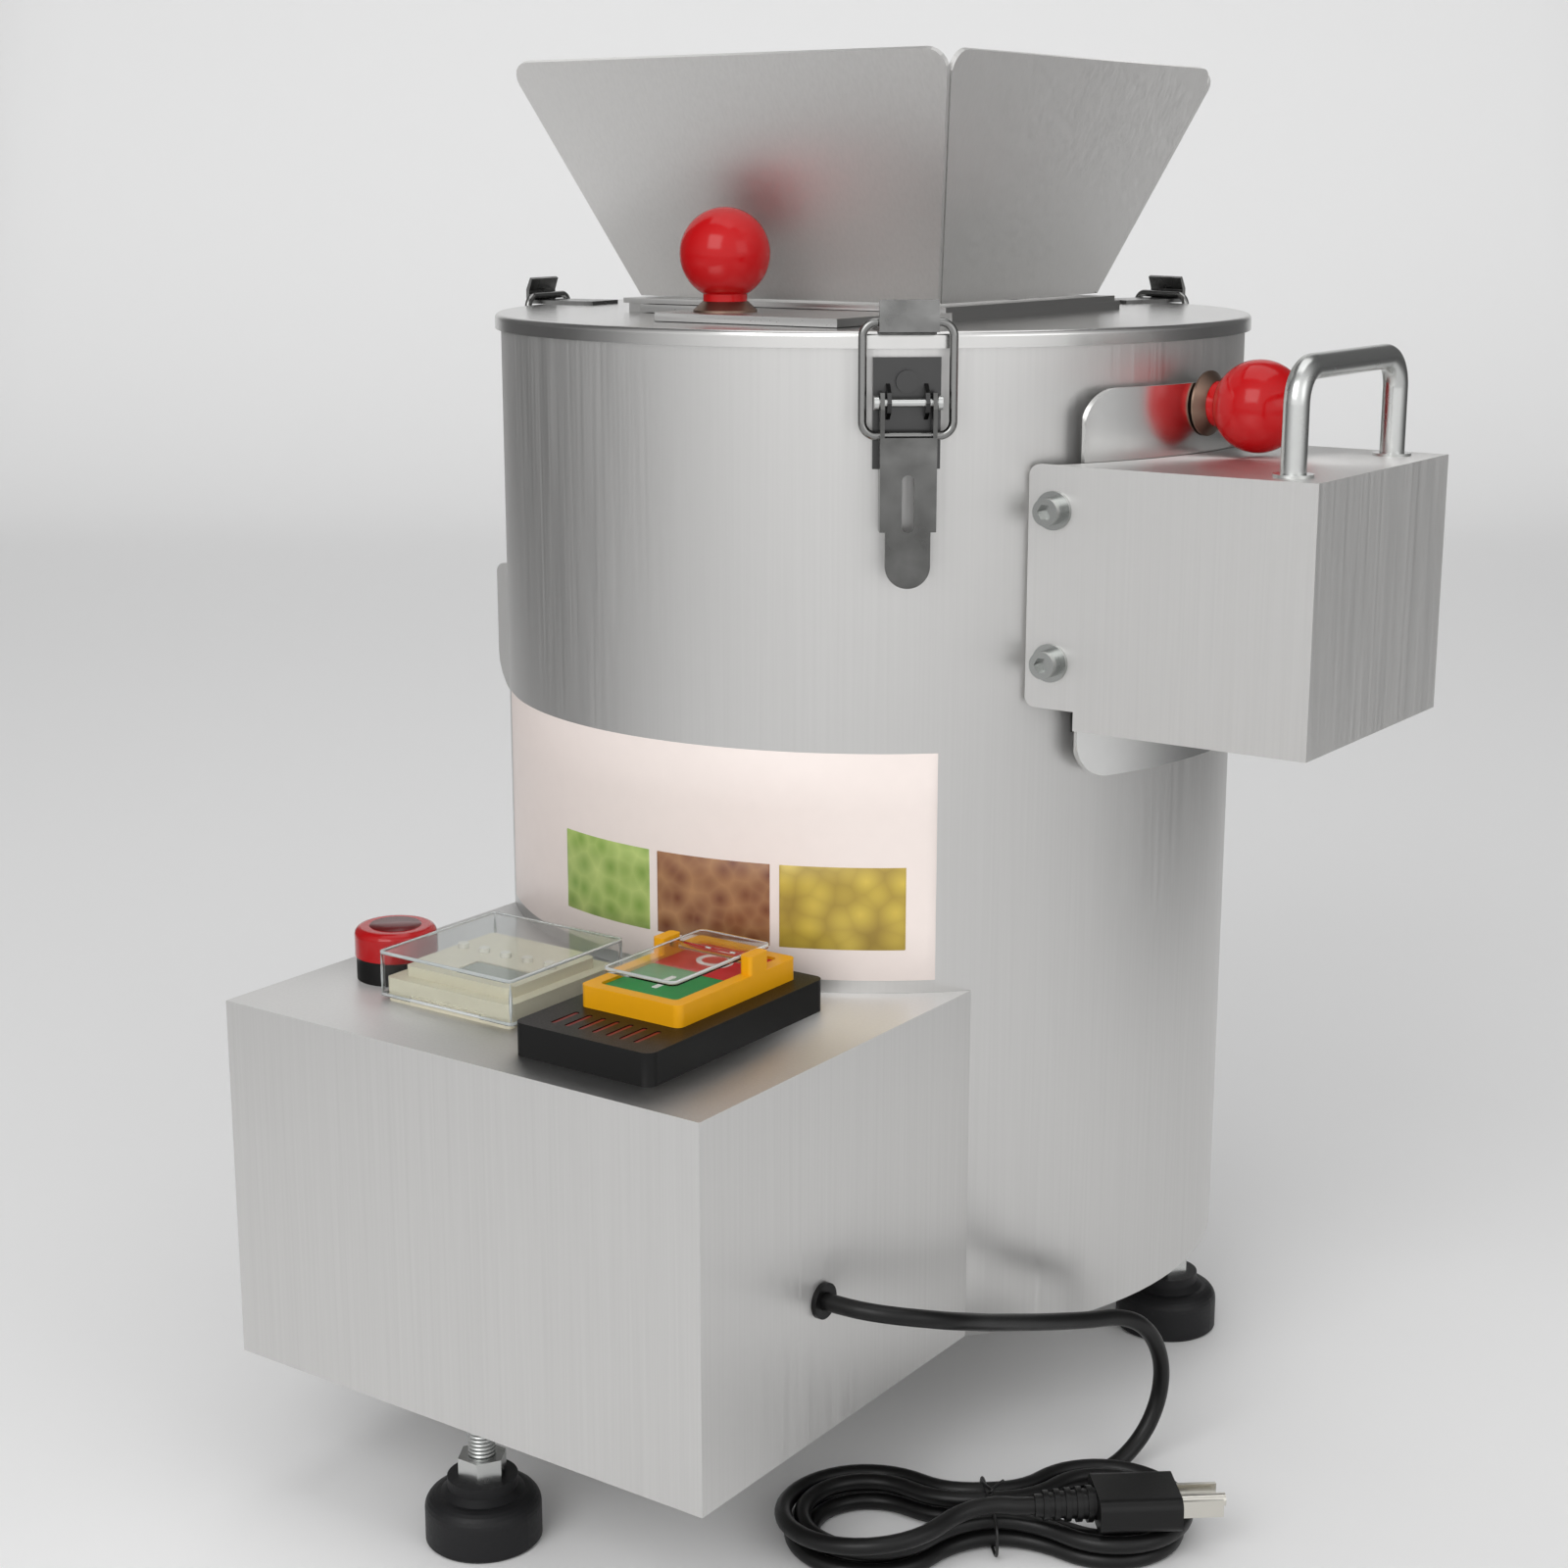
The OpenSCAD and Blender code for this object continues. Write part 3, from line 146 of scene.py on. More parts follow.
@dataclass
class Weave:
    """Writes a finish's grain into a node tree."""

    tree: bpy.types.NodeTree
    shader: bpy.types.Node

    def node(self, kind: str, **values: object) -> bpy.types.Node:
        """Adds a node and sets its inputs by name.

        Args:
            kind: Blender's node type.
            values: Input values, with spaces in their names written as underscores.

        Returns:
            The new node.
        """
        made = self.tree.nodes.new(kind)
        for name, value in values.items():
            made.inputs[name.replace("_", " ")].default_value = value
        return made

    def link(self, source: bpy.types.NodeSocket, target: bpy.types.NodeSocket) -> None:
        """Joins two sockets."""
        self.tree.links.new(source, target)

    def apply(self, finish: Finish) -> None:
        """Joins the grain's texture to bump, roughness and colour.

        Args:
            finish: The finish whose grain is written.
        """
        coords = self.tree.nodes.new("ShaderNodeTexCoord")
        stretch = self.node("ShaderNodeMapping")
        self.link(coords.outputs["Object"], stretch.inputs["Vector"])
        height = self.texture(finish, stretch)
        bump = self.node("ShaderNodeBump", Strength=0.6, Distance=finish.grain_depth)
        self.link(height, bump.inputs["Height"])
        self.link(bump.outputs["Normal"], self.shader.inputs["Normal"])
        spread = self.node("ShaderNodeMapRange", From_Min=0.25, From_Max=0.75)
        swing = 0.02 if finish.grain is Grain.SMOOTH else 0.06
        spread.inputs["To Min"].default_value = finish.roughness - swing
        spread.inputs["To Max"].default_value = finish.roughness + swing
        self.link(height, spread.inputs["Value"])
        self.link(spread.outputs["Result"], self.shader.inputs["Roughness"])
        low = finish.second or tuple(c * finish.shade for c in finish.color)
        mix = self.tree.nodes.new("ShaderNodeMix")
        mix.data_type = "RGBA"
        # Inputs 6 and 7 are the two colours of this node, and output 2 is their mix.
        mix.inputs[6].default_value = (*finish.color, 1.0)
        mix.inputs[7].default_value = (*low, 1.0)
        self.link(height, mix.inputs["Factor"])
        self.link(mix.outputs[2], self.shader.inputs["Base Color"])
        if finish.grain is Grain.BRUSHED:
            across = self.tree.nodes.new("ShaderNodeTangent")
            across.direction_type = "RADIAL"
            across.axis = finish.lines
            self.link(across.outputs["Tangent"], self.shader.inputs["Tangent"])
            self.shader.inputs["Anisotropic"].default_value = finish.streak

    def texture(self, finish: Finish, stretch: bpy.types.Node) -> bpy.types.NodeSocket:
        """Makes the texture that a grain is drawn with.

        Args:
            finish: The finish whose grain is drawn.
            stretch: The mapping node that the texture reads.

        Returns:
            The socket that gives the grain's height from 0 to 1.
        """
        if finish.grain is Grain.THREAD:
            wave = self.node("ShaderNodeTexWave", Scale=finish.grain_scale)
            wave.bands_direction = "Z"
            self.link(stretch.outputs["Vector"], wave.inputs["Vector"])
            return wave.outputs["Fac"]
        if finish.grain is Grain.MOTTLED:
            cells = self.node("ShaderNodeTexVoronoi", Scale=finish.grain_scale)
            self.link(stretch.outputs["Vector"], cells.inputs["Vector"])
            return cells.outputs["Distance"]
        if finish.grain is Grain.BRUSHED:
            stretch.inputs["Scale"].default_value = [
                LINE_STRETCH if axis == finish.lines else 1.0 for axis in "XYZ"
            ]
        noise = self.node("ShaderNodeTexNoise", Scale=finish.grain_scale, Detail=3.0)
        self.link(stretch.outputs["Vector"], noise.inputs["Vector"])
        return noise.outputs["Fac"]


def brushed(name: str, tone: float, roughness: float, lines: str = "Z") -> Finish:
    """Makes a neutral steel, a touch warm, with fine lines along an axis.

    Args:
        name: The finish's name.
        tone: Its lightness, linear.
        roughness: Its mean roughness.
        lines: The axis that the lines run along.

    Returns:
        The finish.
    """
    warm = (tone, tone * 0.992, tone * 0.978)
    return Finish(
        name, warm, 1.0, roughness, Grain.BRUSHED, 900.0, 0.000008, shade=0.95, streak=0.7, lines=lines
    )


SLOT_FINISHES: dict[str, Finish] = {
    "stainless_sheet": brushed("satin_stainless", 0.68, 0.40),
    "frame_steel": brushed("frame_stainless", 0.58, 0.34),
    "door_steel": Finish("polished_door", (0.84, 0.84, 0.83), 1.0, 0.20),
    "knife_steel": brushed("ground_knife_steel", 0.60, 0.28),
    "motor_casing": Finish("motor_grey", (0.16, 0.17, 0.18), 0.3, 0.5, Grain.CAST, 700.0, 0.00008),
    "machined_steel": brushed("turned_steel", 0.56, 0.28),
    "zinc_plate": Finish("bright_zinc", (0.62, 0.63, 0.62), 1.0, 0.26),
    "latch_steel": Finish(
        "dark_latch_steel", (0.36, 0.36, 0.355), 1.0, 0.26, Grain.CAST, 80.0, 0.0001,
        second=(0.05, 0.05, 0.048),
    ),
    "red_ball": Finish("red_phenolic", (0.50, 0.003, 0.005), 0.0, 0.16, specular=0.30),
    "knob_nut": Finish("dull_bronze", (0.25, 0.17, 0.13), 1.0, 0.35),
    "seal_rubber": Finish("soft_seal", (0.02, 0.02, 0.02), 0.0, 0.65, Grain.CAST, 900.0, 0.00004),
    "foot_rubber": Finish(
        "foot_compound", (0.009, 0.009, 0.010), 0.0, 0.50, Grain.CAST, 900.0, 0.00004, specular=0.3
    ),
    "black_plastic": Finish(
        "moulded_black", (0.003, 0.003, 0.003), 0.0, 0.38, Grain.CAST, 1800.0, 0.00003, specular=0.25
    ),
    "red_lens": Finish("lens_moulding", (0.42, 0.003, 0.005), 0.0, 0.14, specular=0.3, coat=0.2),
    "beige_plastic": Finish("moulded_beige", (0.74, 0.69, 0.54), 0.0, 0.42),
    "key_plastic": Finish("moulded_key", (0.80, 0.78, 0.69), 0.0, 0.4),
    "clear_plastic": Finish(
        "clear_cover", (0.96, 0.98, 0.98), 0.0, 0.06, shade=0.98, transmission=1.0, ior=1.18
    ),
    "yellow_plastic": Finish("yellow_frame", (0.82, 0.38, 0.004), 0.0, 0.38, specular=0.3),
    "green_plastic": Finish("green_button", (0.002, 0.26, 0.06), 0.0, 0.40, specular=0.25),
    "red_plastic": Finish("red_button", (0.58, 0.006, 0.014), 0.0, 0.40, specular=0.25),
    "lead_rubber": Finish(
        "lead_sheath", (0.005, 0.005, 0.005), 0.0, 0.36, Grain.CAST, 1500.0, 0.00002, specular=0.3
    ),
    "tie_plastic": Finish("tie_wire", (0.012, 0.012, 0.012), 0.0, 0.4),
    "pin_metal": Finish("plug_pin", (0.72, 0.70, 0.64), 1.0, 0.22),
}
LEVER_STEEL = Finish(
    "lever_steel", (0.26, 0.26, 0.255), 1.0, 0.24, Grain.CAST, 70.0, 0.00012, second=(0.04, 0.04, 0.038)
)
BAIL_WIRE = Finish("bail_wire", (0.26, 0.26, 0.255), 1.0, 0.20)
NODE_FINISHES: dict[str, Finish] = {
    "foot_studs": Finish("zinc_thread", (0.60, 0.61, 0.60), 1.0, 0.30, Grain.THREAD, 210.0, 0.0006),
    "control_box": brushed("box_stainless", 0.72, 0.48),
    "discharge_hood": brushed("hood_stainless", 0.74, 0.48),
    "hopper": brushed("hopper_stainless", 0.76, 0.56),
    "lid": Finish("lid_stainless", (0.67, 0.665, 0.655), 1.0, 0.22, shade=0.97),
    "feed_gate": brushed("gate_stainless", 0.66, 0.32, "Y"),
    "peeling_disc": brushed("disc_steel", 0.60, 0.30, "Y"),
    "gate_rails": brushed("rail_stainless", 0.58, 0.34, "Y"),
    "hopper_base": brushed("flange_stainless", 0.58, 0.34, "Y"),
    "hood_bolts": Finish("bolt_zinc", (0.40, 0.41, 0.40), 1.0, 0.22),
    # The latch's base plate wears a near-black copy of the latch steel, as painted shade for the shade
    # behind the lever.
    "latch_bases": Finish("latch_steel_painted_shade", (0.085, 0.085, 0.085), 1.0, 0.30),
    "latch_lever_front": LEVER_STEEL,
    "latch_lever_rear": LEVER_STEEL,
    "latch_lever_left": LEVER_STEEL,
    "latch_bail_front": BAIL_WIRE,
    "latch_bail_rear": BAIL_WIRE,
    "latch_bail_left": BAIL_WIRE,
}
LABEL_SHEET = Finish("label_sheet", (0.84, 0.75, 0.71), 0.0, 0.42, shade=0.96)
LABEL_TILES = (
    Finish("tile_leaf", (0.20, 0.33, 0.06), 0.0, 0.4, Grain.MOTTLED, 130.0, second=(0.50, 0.60, 0.20)),
    Finish("tile_husk", (0.16, 0.045, 0.02), 0.0, 0.4, Grain.MOTTLED, 150.0, second=(0.42, 0.22, 0.10)),
    Finish("tile_straw", (0.62, 0.46, 0.07), 0.0, 0.4, Grain.MOTTLED, 120.0, second=(0.30, 0.20, 0.03)),
)
# Pale half-clear rods along the clear covers' edges are a painted highlight, for the light that thick
# clear plastic gathers at its edges.
EDGE_HIGHLIGHT = Finish("clear_edge_painted_highlight", (0.80, 0.83, 0.83), 0.0, 0.25, transmission=0.35)
DISPLAY = Finish("display_glass", (0.20, 0.23, 0.18), 0.0, 0.12)
WHITE_MARK = Finish("white_mark", (0.82, 0.82, 0.80), 0.0, 0.4)
RED_MARK = Finish("dark_red_mark", (0.20, 0.008, 0.008), 0.0, 0.4)
LENS_DISC = Finish("lens_disc", (0.11, 0.003, 0.004), 0.0, 0.25)


def ease(x: np.ndarray) -> np.ndarray:
    """Returns a smooth step from 0 to 1."""
    t = np.clip(x, 0.0, 1.0)
    return t * t * (3.0 - 2.0 * t)


@dataclass
class Mesh:
    """Vertices and quads of one new piece, in the row frame, in metres."""

    points: np.ndarray
    quads: np.ndarray

    @staticmethod
    def grid(points: np.ndarray, wrap_u: bool = False, wrap_v: bool = False) -> Mesh:
        """Joins a grid of points into quads.

        Args:
            points: Array of shape (rows, columns, 3).
            wrap_u: Whether the last row joins the first.
            wrap_v: Whether the last column joins the first.

        Returns:
            The mesh of the grid.
        """
        rows, columns = points.shape[:2]
        i = np.arange(rows if wrap_u else rows - 1)[:, None]
        j = np.arange(columns if wrap_v else columns - 1)[None, :]
        i2, j2 = (i + 1) % rows, (j + 1) % columns
        corners = [i * columns + j, i2 * columns + j, i2 * columns + j2, i * columns + j2]
        quads = np.stack([np.broadcast_to(c, (i.size, j.size)) for c in corners], axis=-1)
        return Mesh(points.reshape(-1, 3), quads.reshape(-1, 4))

    @staticmethod
    def joined(meshes: list[Mesh]) -> Mesh:
        """Joins several meshes into one, with each one's quads counted on from the last.

        Args:
            meshes: The meshes, in order.

        Returns:
            One mesh that holds them all.
        """
        starts = np.cumsum([0] + [len(m.points) for m in meshes[:-1]])
        quads = [m.quads + s for m, s in zip(meshes, starts)]
        return Mesh(np.concatenate([m.points for m in meshes]), np.concatenate(quads))

    def placed(self, name: str, finish: Finish, smooth: bool = True) -> bpy.types.Object:
        """Puts the mesh into the scene.

        Args:
            name: The object's name.
            finish: The finish that it wears.
            smooth: Whether its faces are shaded smooth.

        Returns:
            The new object.
        """
        data = bpy.data.meshes.new(name)
        data.from_pydata(self.points.tolist(), [], self.quads.tolist())
        data.polygons.foreach_set("use_smooth", np.full(len(data.polygons), smooth))
        data.materials.append(finish.material())
        data.validate()
        data.update()
        made = bpy.data.objects.new(name, data)
        bpy.context.scene.collection.objects.link(made)
        return made

    def piece(
        self, name: str, finish: Finish, body: Body, slot: str, smooth: bool = True
    ) -> bpy.types.Object:
        """Puts the mesh into the scene as a piece that rides on a body.

        Args:
            name: The piece's name.
            finish: The finish that it wears.
            body: The body that it rides on.
            slot: The record's material slot that it belongs to. Not used.
            smooth: Whether its faces are shaded smooth.

        Returns:
            The new object.
        """
        made = self.placed(name, finish, smooth)
        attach(made, body.value)
        LOG.info("%s: %d vertices on %s", name, len(made.data.vertices), body.value)
        return made


def swept_tube(path: np.ndarray, radius: float, sides: int, up: tuple[float, float, float]) -> Mesh:
    """Carries a circle along a path whose headings never run along up.

    Args:
        path: Points of shape (n, 3).
        radius: Radius of the circle.
        sides: Points round the circle.
        up: A direction that fixes the circle's turn.

    Returns:
        The tube, drawn in to a point at both ends.
    """
    heading = np.gradient(path, axis=0)
    heading /= np.linalg.norm(heading, axis=1, keepdims=True)
    side = np.cross(heading, np.array(up))
    side /= np.linalg.norm(side, axis=1, keepdims=True)
    top = np.cross(side, heading)
    turn = np.linspace(0.0, 2.0 * math.pi, sides, endpoint=False)
    taper = np.ones(len(path))
    taper[[0, -1]] = 0.02
    ring = np.cos(turn)[None, :, None] * side[:, None] + np.sin(turn)[None, :, None] * top[:, None]
    return Mesh.grid(path[:, None] + radius * taper[:, None, None] * ring, wrap_v=True)


def round_corners() -> tuple[np.ndarray, np.ndarray]:
    """Shares a full turn out among a rectangle's four corners, a quarter turn to each.

    Returns:
        For each step, the signs of its corner's x and y, and the direction that it looks in.
    """
    turn = np.linspace(0.0, 2.0 * math.pi, CORNER_STEPS, endpoint=False)
    mid = (np.floor(turn / (math.pi / 2.0)) + 0.5) * math.pi / 2.0
    side = np.c_[np.sign(np.cos(mid)), np.sign(np.sin(mid))]
    return side, np.c_[np.cos(turn), np.sin(turn)]


def flat_slab(
    center: Vector, width: float, depth: float, low: float, high: float, corner: float
) -> Mesh:
    """Makes a slab closed above, from a rectangle with round corners carried upwards.

    Args:
        center: Middle of the slab; only x and y are used.
        width: Size along X.
        depth: Size along Y.
        low: Height of its foot.
        high: Height of its top.
        corner: Radius of its corners.

    Returns:
        The slab's wall and top.
    """
    side, out = round_corners()
    outline = side * (np.array([width, depth]) / 2.0 - corner) + out * corner
    shares = np.array([1.0, 1.0, 0.0])[:, None, None]
    flat = np.array(center)[:2] + shares * outline
    heights = np.broadcast_to(np.array([low, high, high])[:, None, None], (*flat.shape[:2], 1))
    return Mesh.grid(np.concatenate([flat, heights], axis=-1)[:, ::-1], wrap_v=True)


@dataclass
class Studio:
    """Camera, lamps and sweep, placed from the drum's axis."""

    axis: Vector
    camera_at: Vector = field(default_factory=lambda: Vector((0.5742, -0.8774, 0.4858)))
    yaw: float = 0.6134
    pitch: float = -0.2312
    lens: float = 58.2
    floor_tone: float = 0.90
    floor_light: float = 0.75
    floor_front: float = 3.0
    sweep_back: float = 2.6
    sweep_r: float = 1.2
    sweep_top: float = 4.0
    sweep_half: tuple[float, float, float] = (0.75, 1.7, 1.8)
    # Shares of the sweep's half width between which the pale floor goes over into painted shade.
    sweep_shade_fade: tuple[float, float] = (0.72, 1.28)
    sweep_wide: float = 60.0
    aim_height: float = 0.28
    key: float = 17.5
    key_at: tuple[float, float, float] = (0.30, -2.10, 1.60)
    fill: float = 2.5
    fill_at: tuple[float, float, float] = (1.90, -0.40, 1.00)
    top: float = 10.0
    top_at: tuple[float, float, float] = (0.00, 0.20, 2.20)
    sky_near: float = 1.15
    sky_far: float = 0.12
    sky_range: tuple[float, float] = (-0.35, 1.0)
    darkest_painted_shade: float = 0.05

    def build(self) -> None:
        """Makes the camera, the sweep, the lamps and the world."""
        self.place_camera()
        self.lay_sweep()
        self.light()

    def place_camera(self) -> None:
        """Sets the camera where it sees the machine as in the picture."""
        data = bpy.data.cameras.new("camera")
        data.lens = self.lens
        data.sensor_width = 36.0
        camera = bpy.data.objects.new("camera", data)
        bpy.context.scene.collection.objects.link(camera)
        camera.location = self.axis + self.camera_at
        camera.rotation_euler = (math.pi / 2.0 + self.pitch, 0.0, self.yaw)
        bpy.context.scene.camera = camera

    def lay_sweep(self) -> None:
        """Lays a floor that turns up into a backdrop on a quarter circle, square to the camera.

        Its middle is pale. Beyond its edges its colour goes over softly into painted shade, as dark as
        the dim sky above it looks.
        """
        bend = np.linspace(0.0, math.pi / 2.0, 17)
        radius, back = self.sweep_r, self.sweep_back
        flat = np.linspace(-self.floor_front, back, 56, endpoint=False)
        along = np.concatenate([flat, back + radius * np.sin(bend), [back + radius]])[:, None]
        rise = np.concatenate([0.0 * flat, radius * (1.0 - np.cos(bend)), [self.sweep_top]])[:, None]
        half = np.interp(along, [0.0, back, back + radius], self.sweep_half)
        steps = np.r_[0.0, np.linspace(*self.sweep_shade_fade, 13), np.geomspace(1.6, self.sweep_wide, 8)]
        share = np.r_[-steps[:0:-1], steps][None, :]
        span = half * share
        x = span * math.cos(self.yaw) - along * math.sin(self.yaw)
        y = span * math.sin(self.yaw) + along * math.cos(self.yaw)
        z = np.broadcast_to(rise, x.shape)
        facing = -along / np.maximum(np.hypot(span, along), MM)
        low, high = self.sky_range
        sky = self.sky_far + (self.sky_near - self.sky_far) * ease((facing - low) / (high - low))
        # Past the pale middle the floor's colour is painted shade: the dim sky's brightness over the
        # light on the floor, kept between the darkest painted shade and the floor's tone.
        outer = np.clip(sky / self.floor_light, self.darkest_painted_shade, self.floor_tone)
        first, last = self.sweep_shade_fade
        painted_shade_share = ease((np.abs(share) - first) / (last - first))
        tone = self.floor_tone + (outer - self.floor_tone) * painted_shade_share
        finish = Finish("sweep", (self.floor_tone,) * 3, 0.0, 0.9)
        sweep = Mesh.grid(np.stack([x, y, z], axis=-1)[:, ::-1]).placed("sweep", finish)
        # The painted shade is stored per point in the tone colour attribute, which the floor's material
        # reads as its base colour.
        layer = sweep.data.color_attributes.new("tone", "FLOAT_COLOR", "POINT")
        painted_shade = np.repeat(tone[:, ::-1].reshape(-1, 1), 4, axis=1)
        painted_shade[:, 3] = 1.0
        layer.data.foreach_set("color", painted_shade.ravel())
        tree = finish.material().node_tree
        reader = tree.nodes.new("ShaderNodeVertexColor")
        reader.layer_name = "tone"
        tree.links.new(reader.outputs["Color"], tree.nodes["Principled BSDF"].inputs["Base Color"])

    def light(self) -> None:
        """Hangs three soft boxes under a sky that is bright near the camera and dim far from it."""
        self.soft_box("key_box", self.key_at, 1.4, self.key)
        self.soft_box("fill_box", self.fill_at, 1.0, self.fill)
        self.soft_box("top_box", self.top_at, 1.6, self.top)
        world = bpy.data.worlds.new("studio")
        bpy.context.scene.world = world
        world.use_nodes = True
        tree = world.node_tree
        sky = tree.nodes["Background"]
        sky.inputs["Strength"].default_value = 1.0
        aim = tree.nodes.new("ShaderNodeTexCoord")
        facing = tree.nodes.new("ShaderNodeVectorMath")
        facing.operation = "DOT_PRODUCT"
        facing.inputs[1].default_value = (math.sin(self.yaw), -math.cos(self.yaw), 0.0)
        level = tree.nodes.new("ShaderNodeMapRange")
        level.interpolation_type = "SMOOTHSTEP"
        level.inputs["From Min"].default_value = self.sky_range[0]
        level.inputs["From Max"].default_value = self.sky_range[1]
        level.inputs["To Min"].default_value = self.sky_far
        level.inputs["To Max"].default_value = self.sky_near
        tree.links.new(aim.outputs["Generated"], facing.inputs[0])
        tree.links.new(facing.outputs["Value"], level.inputs["Value"])
        tree.links.new(level.outputs["Result"], sky.inputs["Color"])
        bpy.context.scene.view_settings.view_transform = "Standard"

    def soft_box(self, name: str, place: tuple[float, float, float], size: float, power: float) -> None:
        """Hangs one square lamp that faces the drum's middle.

        Args:
            name: The lamp's name.
            place: Its place from the drum's foot.
            size: Length of its side.
            power: Its power in watts.
        """
        data = bpy.data.lights.new(name, "AREA")
        data.size = size
        data.energy = power
        lamp = bpy.data.objects.new(name, data)
        bpy.context.scene.collection.objects.link(lamp)
        lamp.location = self.axis + Vector(place)
        aim = self.axis + Vector((0.0, 0.0, self.aim_height)) - lamp.location
        lamp.rotation_euler = aim.to_track_quat("-Z", "Y").to_euler()


@dataclass
class MainsLead:
    """The lead: out of the box, down to the floor, into a folded hank. Lengths are in millimetres."""

    exit: Vector
    diameter: float = 6.4
    rib: float = 0.6
    lobe_r: float = 20.0
    lobe_at: float = 44.0
    waist_half: float = 2.0
    hank_from: tuple[float, float] = (35.0, 59.0)
    hank_turn: float = 39.0
    middle_step: float = 42.0
    first_step: float = 4.5
    last_step: float = 90.5
    tail_step: float = 82.0
    tie_wire: float = 1.2
    plug_half: float = 6.5
    seat: float = 0.3
    bends: tuple[tuple[float, float, float], ...] = (
        (-3, 0, 1), (8, 0, 1), (18, 1.6, 0.998), (27, 6.2, 0.989), (34.1, 13.3, 0.971),
        (38.7, 22.3, 0.942), (40.4, 32.4, 0.906), (40.7, 48, 0.846), (41, 64, 0.788), (42, 80, 0.732),
        (44.2, 96, 0.682), (47.3, 110.5, 0.642), (51.4, 125.5, 0.606), (55.4, 136.2, 0.551),
        (58.2, 143.9, 0.458), (59.6, 147.5, 0.341), (59.1, 146.4, 0.218), (57, 140.7, 0.11),
        (53.6, 131.3, 0.034), (49.7, 120.8, 0.002), (45.2, 108.9, 0),
    )

    def build(self) -> None:
        """Makes the lead as one curve, and the wire tie round its hank."""
        path = self.centreline()
        data = bpy.data.curves.new("mains_lead_sheath", "CURVE")
        data.dimensions = "3D"
        data.bevel_depth = self.diameter / 2.0 * MM
        data.bevel_resolution = 5
        data.use_fill_caps = True
        spline = data.splines.new("POLY")
        spline.points.add(len(path) - 1)
        spline.points.foreach_set("co", np.c_[path, np.ones(len(path))].ravel())
        data.materials.append(SLOT_FINISHES["lead_rubber"].material())
        lead = bpy.data.objects.new("mains_lead_sheath", data)
        bpy.context.scene.collection.objects.link(lead)
        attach(lead, Body.MACHINE.value)
        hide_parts("mains_lead", "lead_hank")
        self.tie()

    def centreline(self) -> np.ndarray:
        """Works out the lead's line: listed bends, then the hank's loops.

        Returns:
            Points in the row frame, in metres, a few millimetres apart.
        """
        floor = self.diameter / 2.0
        bend = np.array(self.bends, float)
        base = np.array(self.exit) / MM
        rise = floor + bend[:, 2] * (base[2] - floor)
        route = np.c_[base[0] + bend[:, 0], base[1] + bend[:, 1], rise]
        hank = self.in_row(self.hank_line(np.arange(self.first_step, self.last_step + 0.01, 0.25)))
        into = hank[0] - hank[1]
        into[2] = 0.0
        into *= self.diameter / np.linalg.norm(into)
        out = self.in_row_turn(np.array([self.diameter, 0.0, 0.0]))
        coarse = np.concatenate([route, [hank[0] + 2.0 * into, hank[0] + into, hank[0]]])
        line = np.concatenate([self.smooth(coarse, 8)[:-1], hank, [hank[-1] + out]])
        line[:, 2] = np.maximum(line[:, 2], floor)
        return line * MM

    def hank_line(self, step: np.ndarray) -> np.ndarray:
        """Works out the hank in its own frame: two lobes joined by arcs that draw in to a waist.

        Args:
            step: Places along the hank, 24 to a loop: 9 round each lobe, 3 at each side of the waist.

        Returns:
            Points of shape (n, 3), in millimetres.
        """
        pitch = self.diameter + self.rib
        k = np.abs(step - self.middle_step) / 24.0
        s = step % 24.0
        reach = self.lobe_at**2 + self.waist_half**2 - self.lobe_r**2
        waist_r = reach / 2.0 / (self.lobe_r - self.waist_half)
        turn = math.degrees(math.atan2(self.waist_half + waist_r, -self.lobe_at))
        swing = 2.0 * turn - 180.0
        lobe, waist, far = self.lobe_r + pitch * k, waist_r - pitch * k, self.waist_half + waist_r
        spans = [s < 4.5, s < 7.5, s < 16.5, s < 19.5, s < 24.5]
        angle = np.radians(np.select(spans, [
            turn * s / 4.5,
            turn - 180.0 - swing * (s - 4.5) / 3.0,
            180.0 - turn + 2.0 * turn * (s - 7.5) / 9.0,
            turn - swing * (s - 16.5) / 3.0,
            turn * (s - 24.0) / 4.5,
        ]))
        radius = np.select(spans, [lobe, waist, lobe, waist, lobe])
        mid_x = np.select(spans, [self.lobe_at, 0.0, -self.lobe_at, 0.0, self.lobe_at])
        mid_y = np.select(spans, [0.0, far, 0.0, -far, 0.0])
        x, y = mid_x + radius * np.cos(angle), mid_y + radius * np.sin(angle)
        return np.c_[x, y, self.hank_height(step, x, pitch)]

    def hank_height(self, step: np.ndarray, x: np.ndarray, pitch: float) -> np.ndarray:
        """Works out how high the hank lies: a layer, a second on it, a tail that climbs to the plug.

        Args:
            step: Places along the hank.
            x: Distance from the waist.
            pitch: Distance between loops.

        Returns:
            Heights in millimetres.
        """
        floor = self.diameter / 2.0
        plug = 2.0 * self.diameter + self.rib + self.seat + self.plug_half
        layer = pitch * ease((step - self.middle_step + 6.0) / 12.0)
        climb = (step - self.tail_step) / (self.last_step - self.tail_step)
        tail = (plug - pitch - floor) * ease(climb)
        return floor + layer + tail + self.tie_wire * np.exp(-((x / 16.0) ** 2))

    def in_row_turn(self, points: np.ndarray) -> np.ndarray:
        """Turns hank directions into the row frame, by the hank's angle about the upright.

        Args:
            points: Directions of shape (3,) or (n, 3).

        Returns:
            The same directions in the row frame.
        """
        a = math.radians(self.hank_turn)
        along, across = math.cos(a), math.sin(a)
        turn = np.array([[along, -across, 0.0], [across, along, 0.0], [0.0, 0.0, 1.0]])
        return points @ turn.T

    def in_row(self, points: np.ndarray) -> np.ndarray:
        """Turns hank points and moves them to the hank's place in the row frame.

        Args:
            points: Points of shape (n, 3), in millimetres.

        Returns:
            The same points in the row frame, in millimetres.
        """
        base = np.array(self.exit) / MM
        base[2] = 0.0
        return self.in_row_turn(points) + base + [*self.hank_from, 0.0]

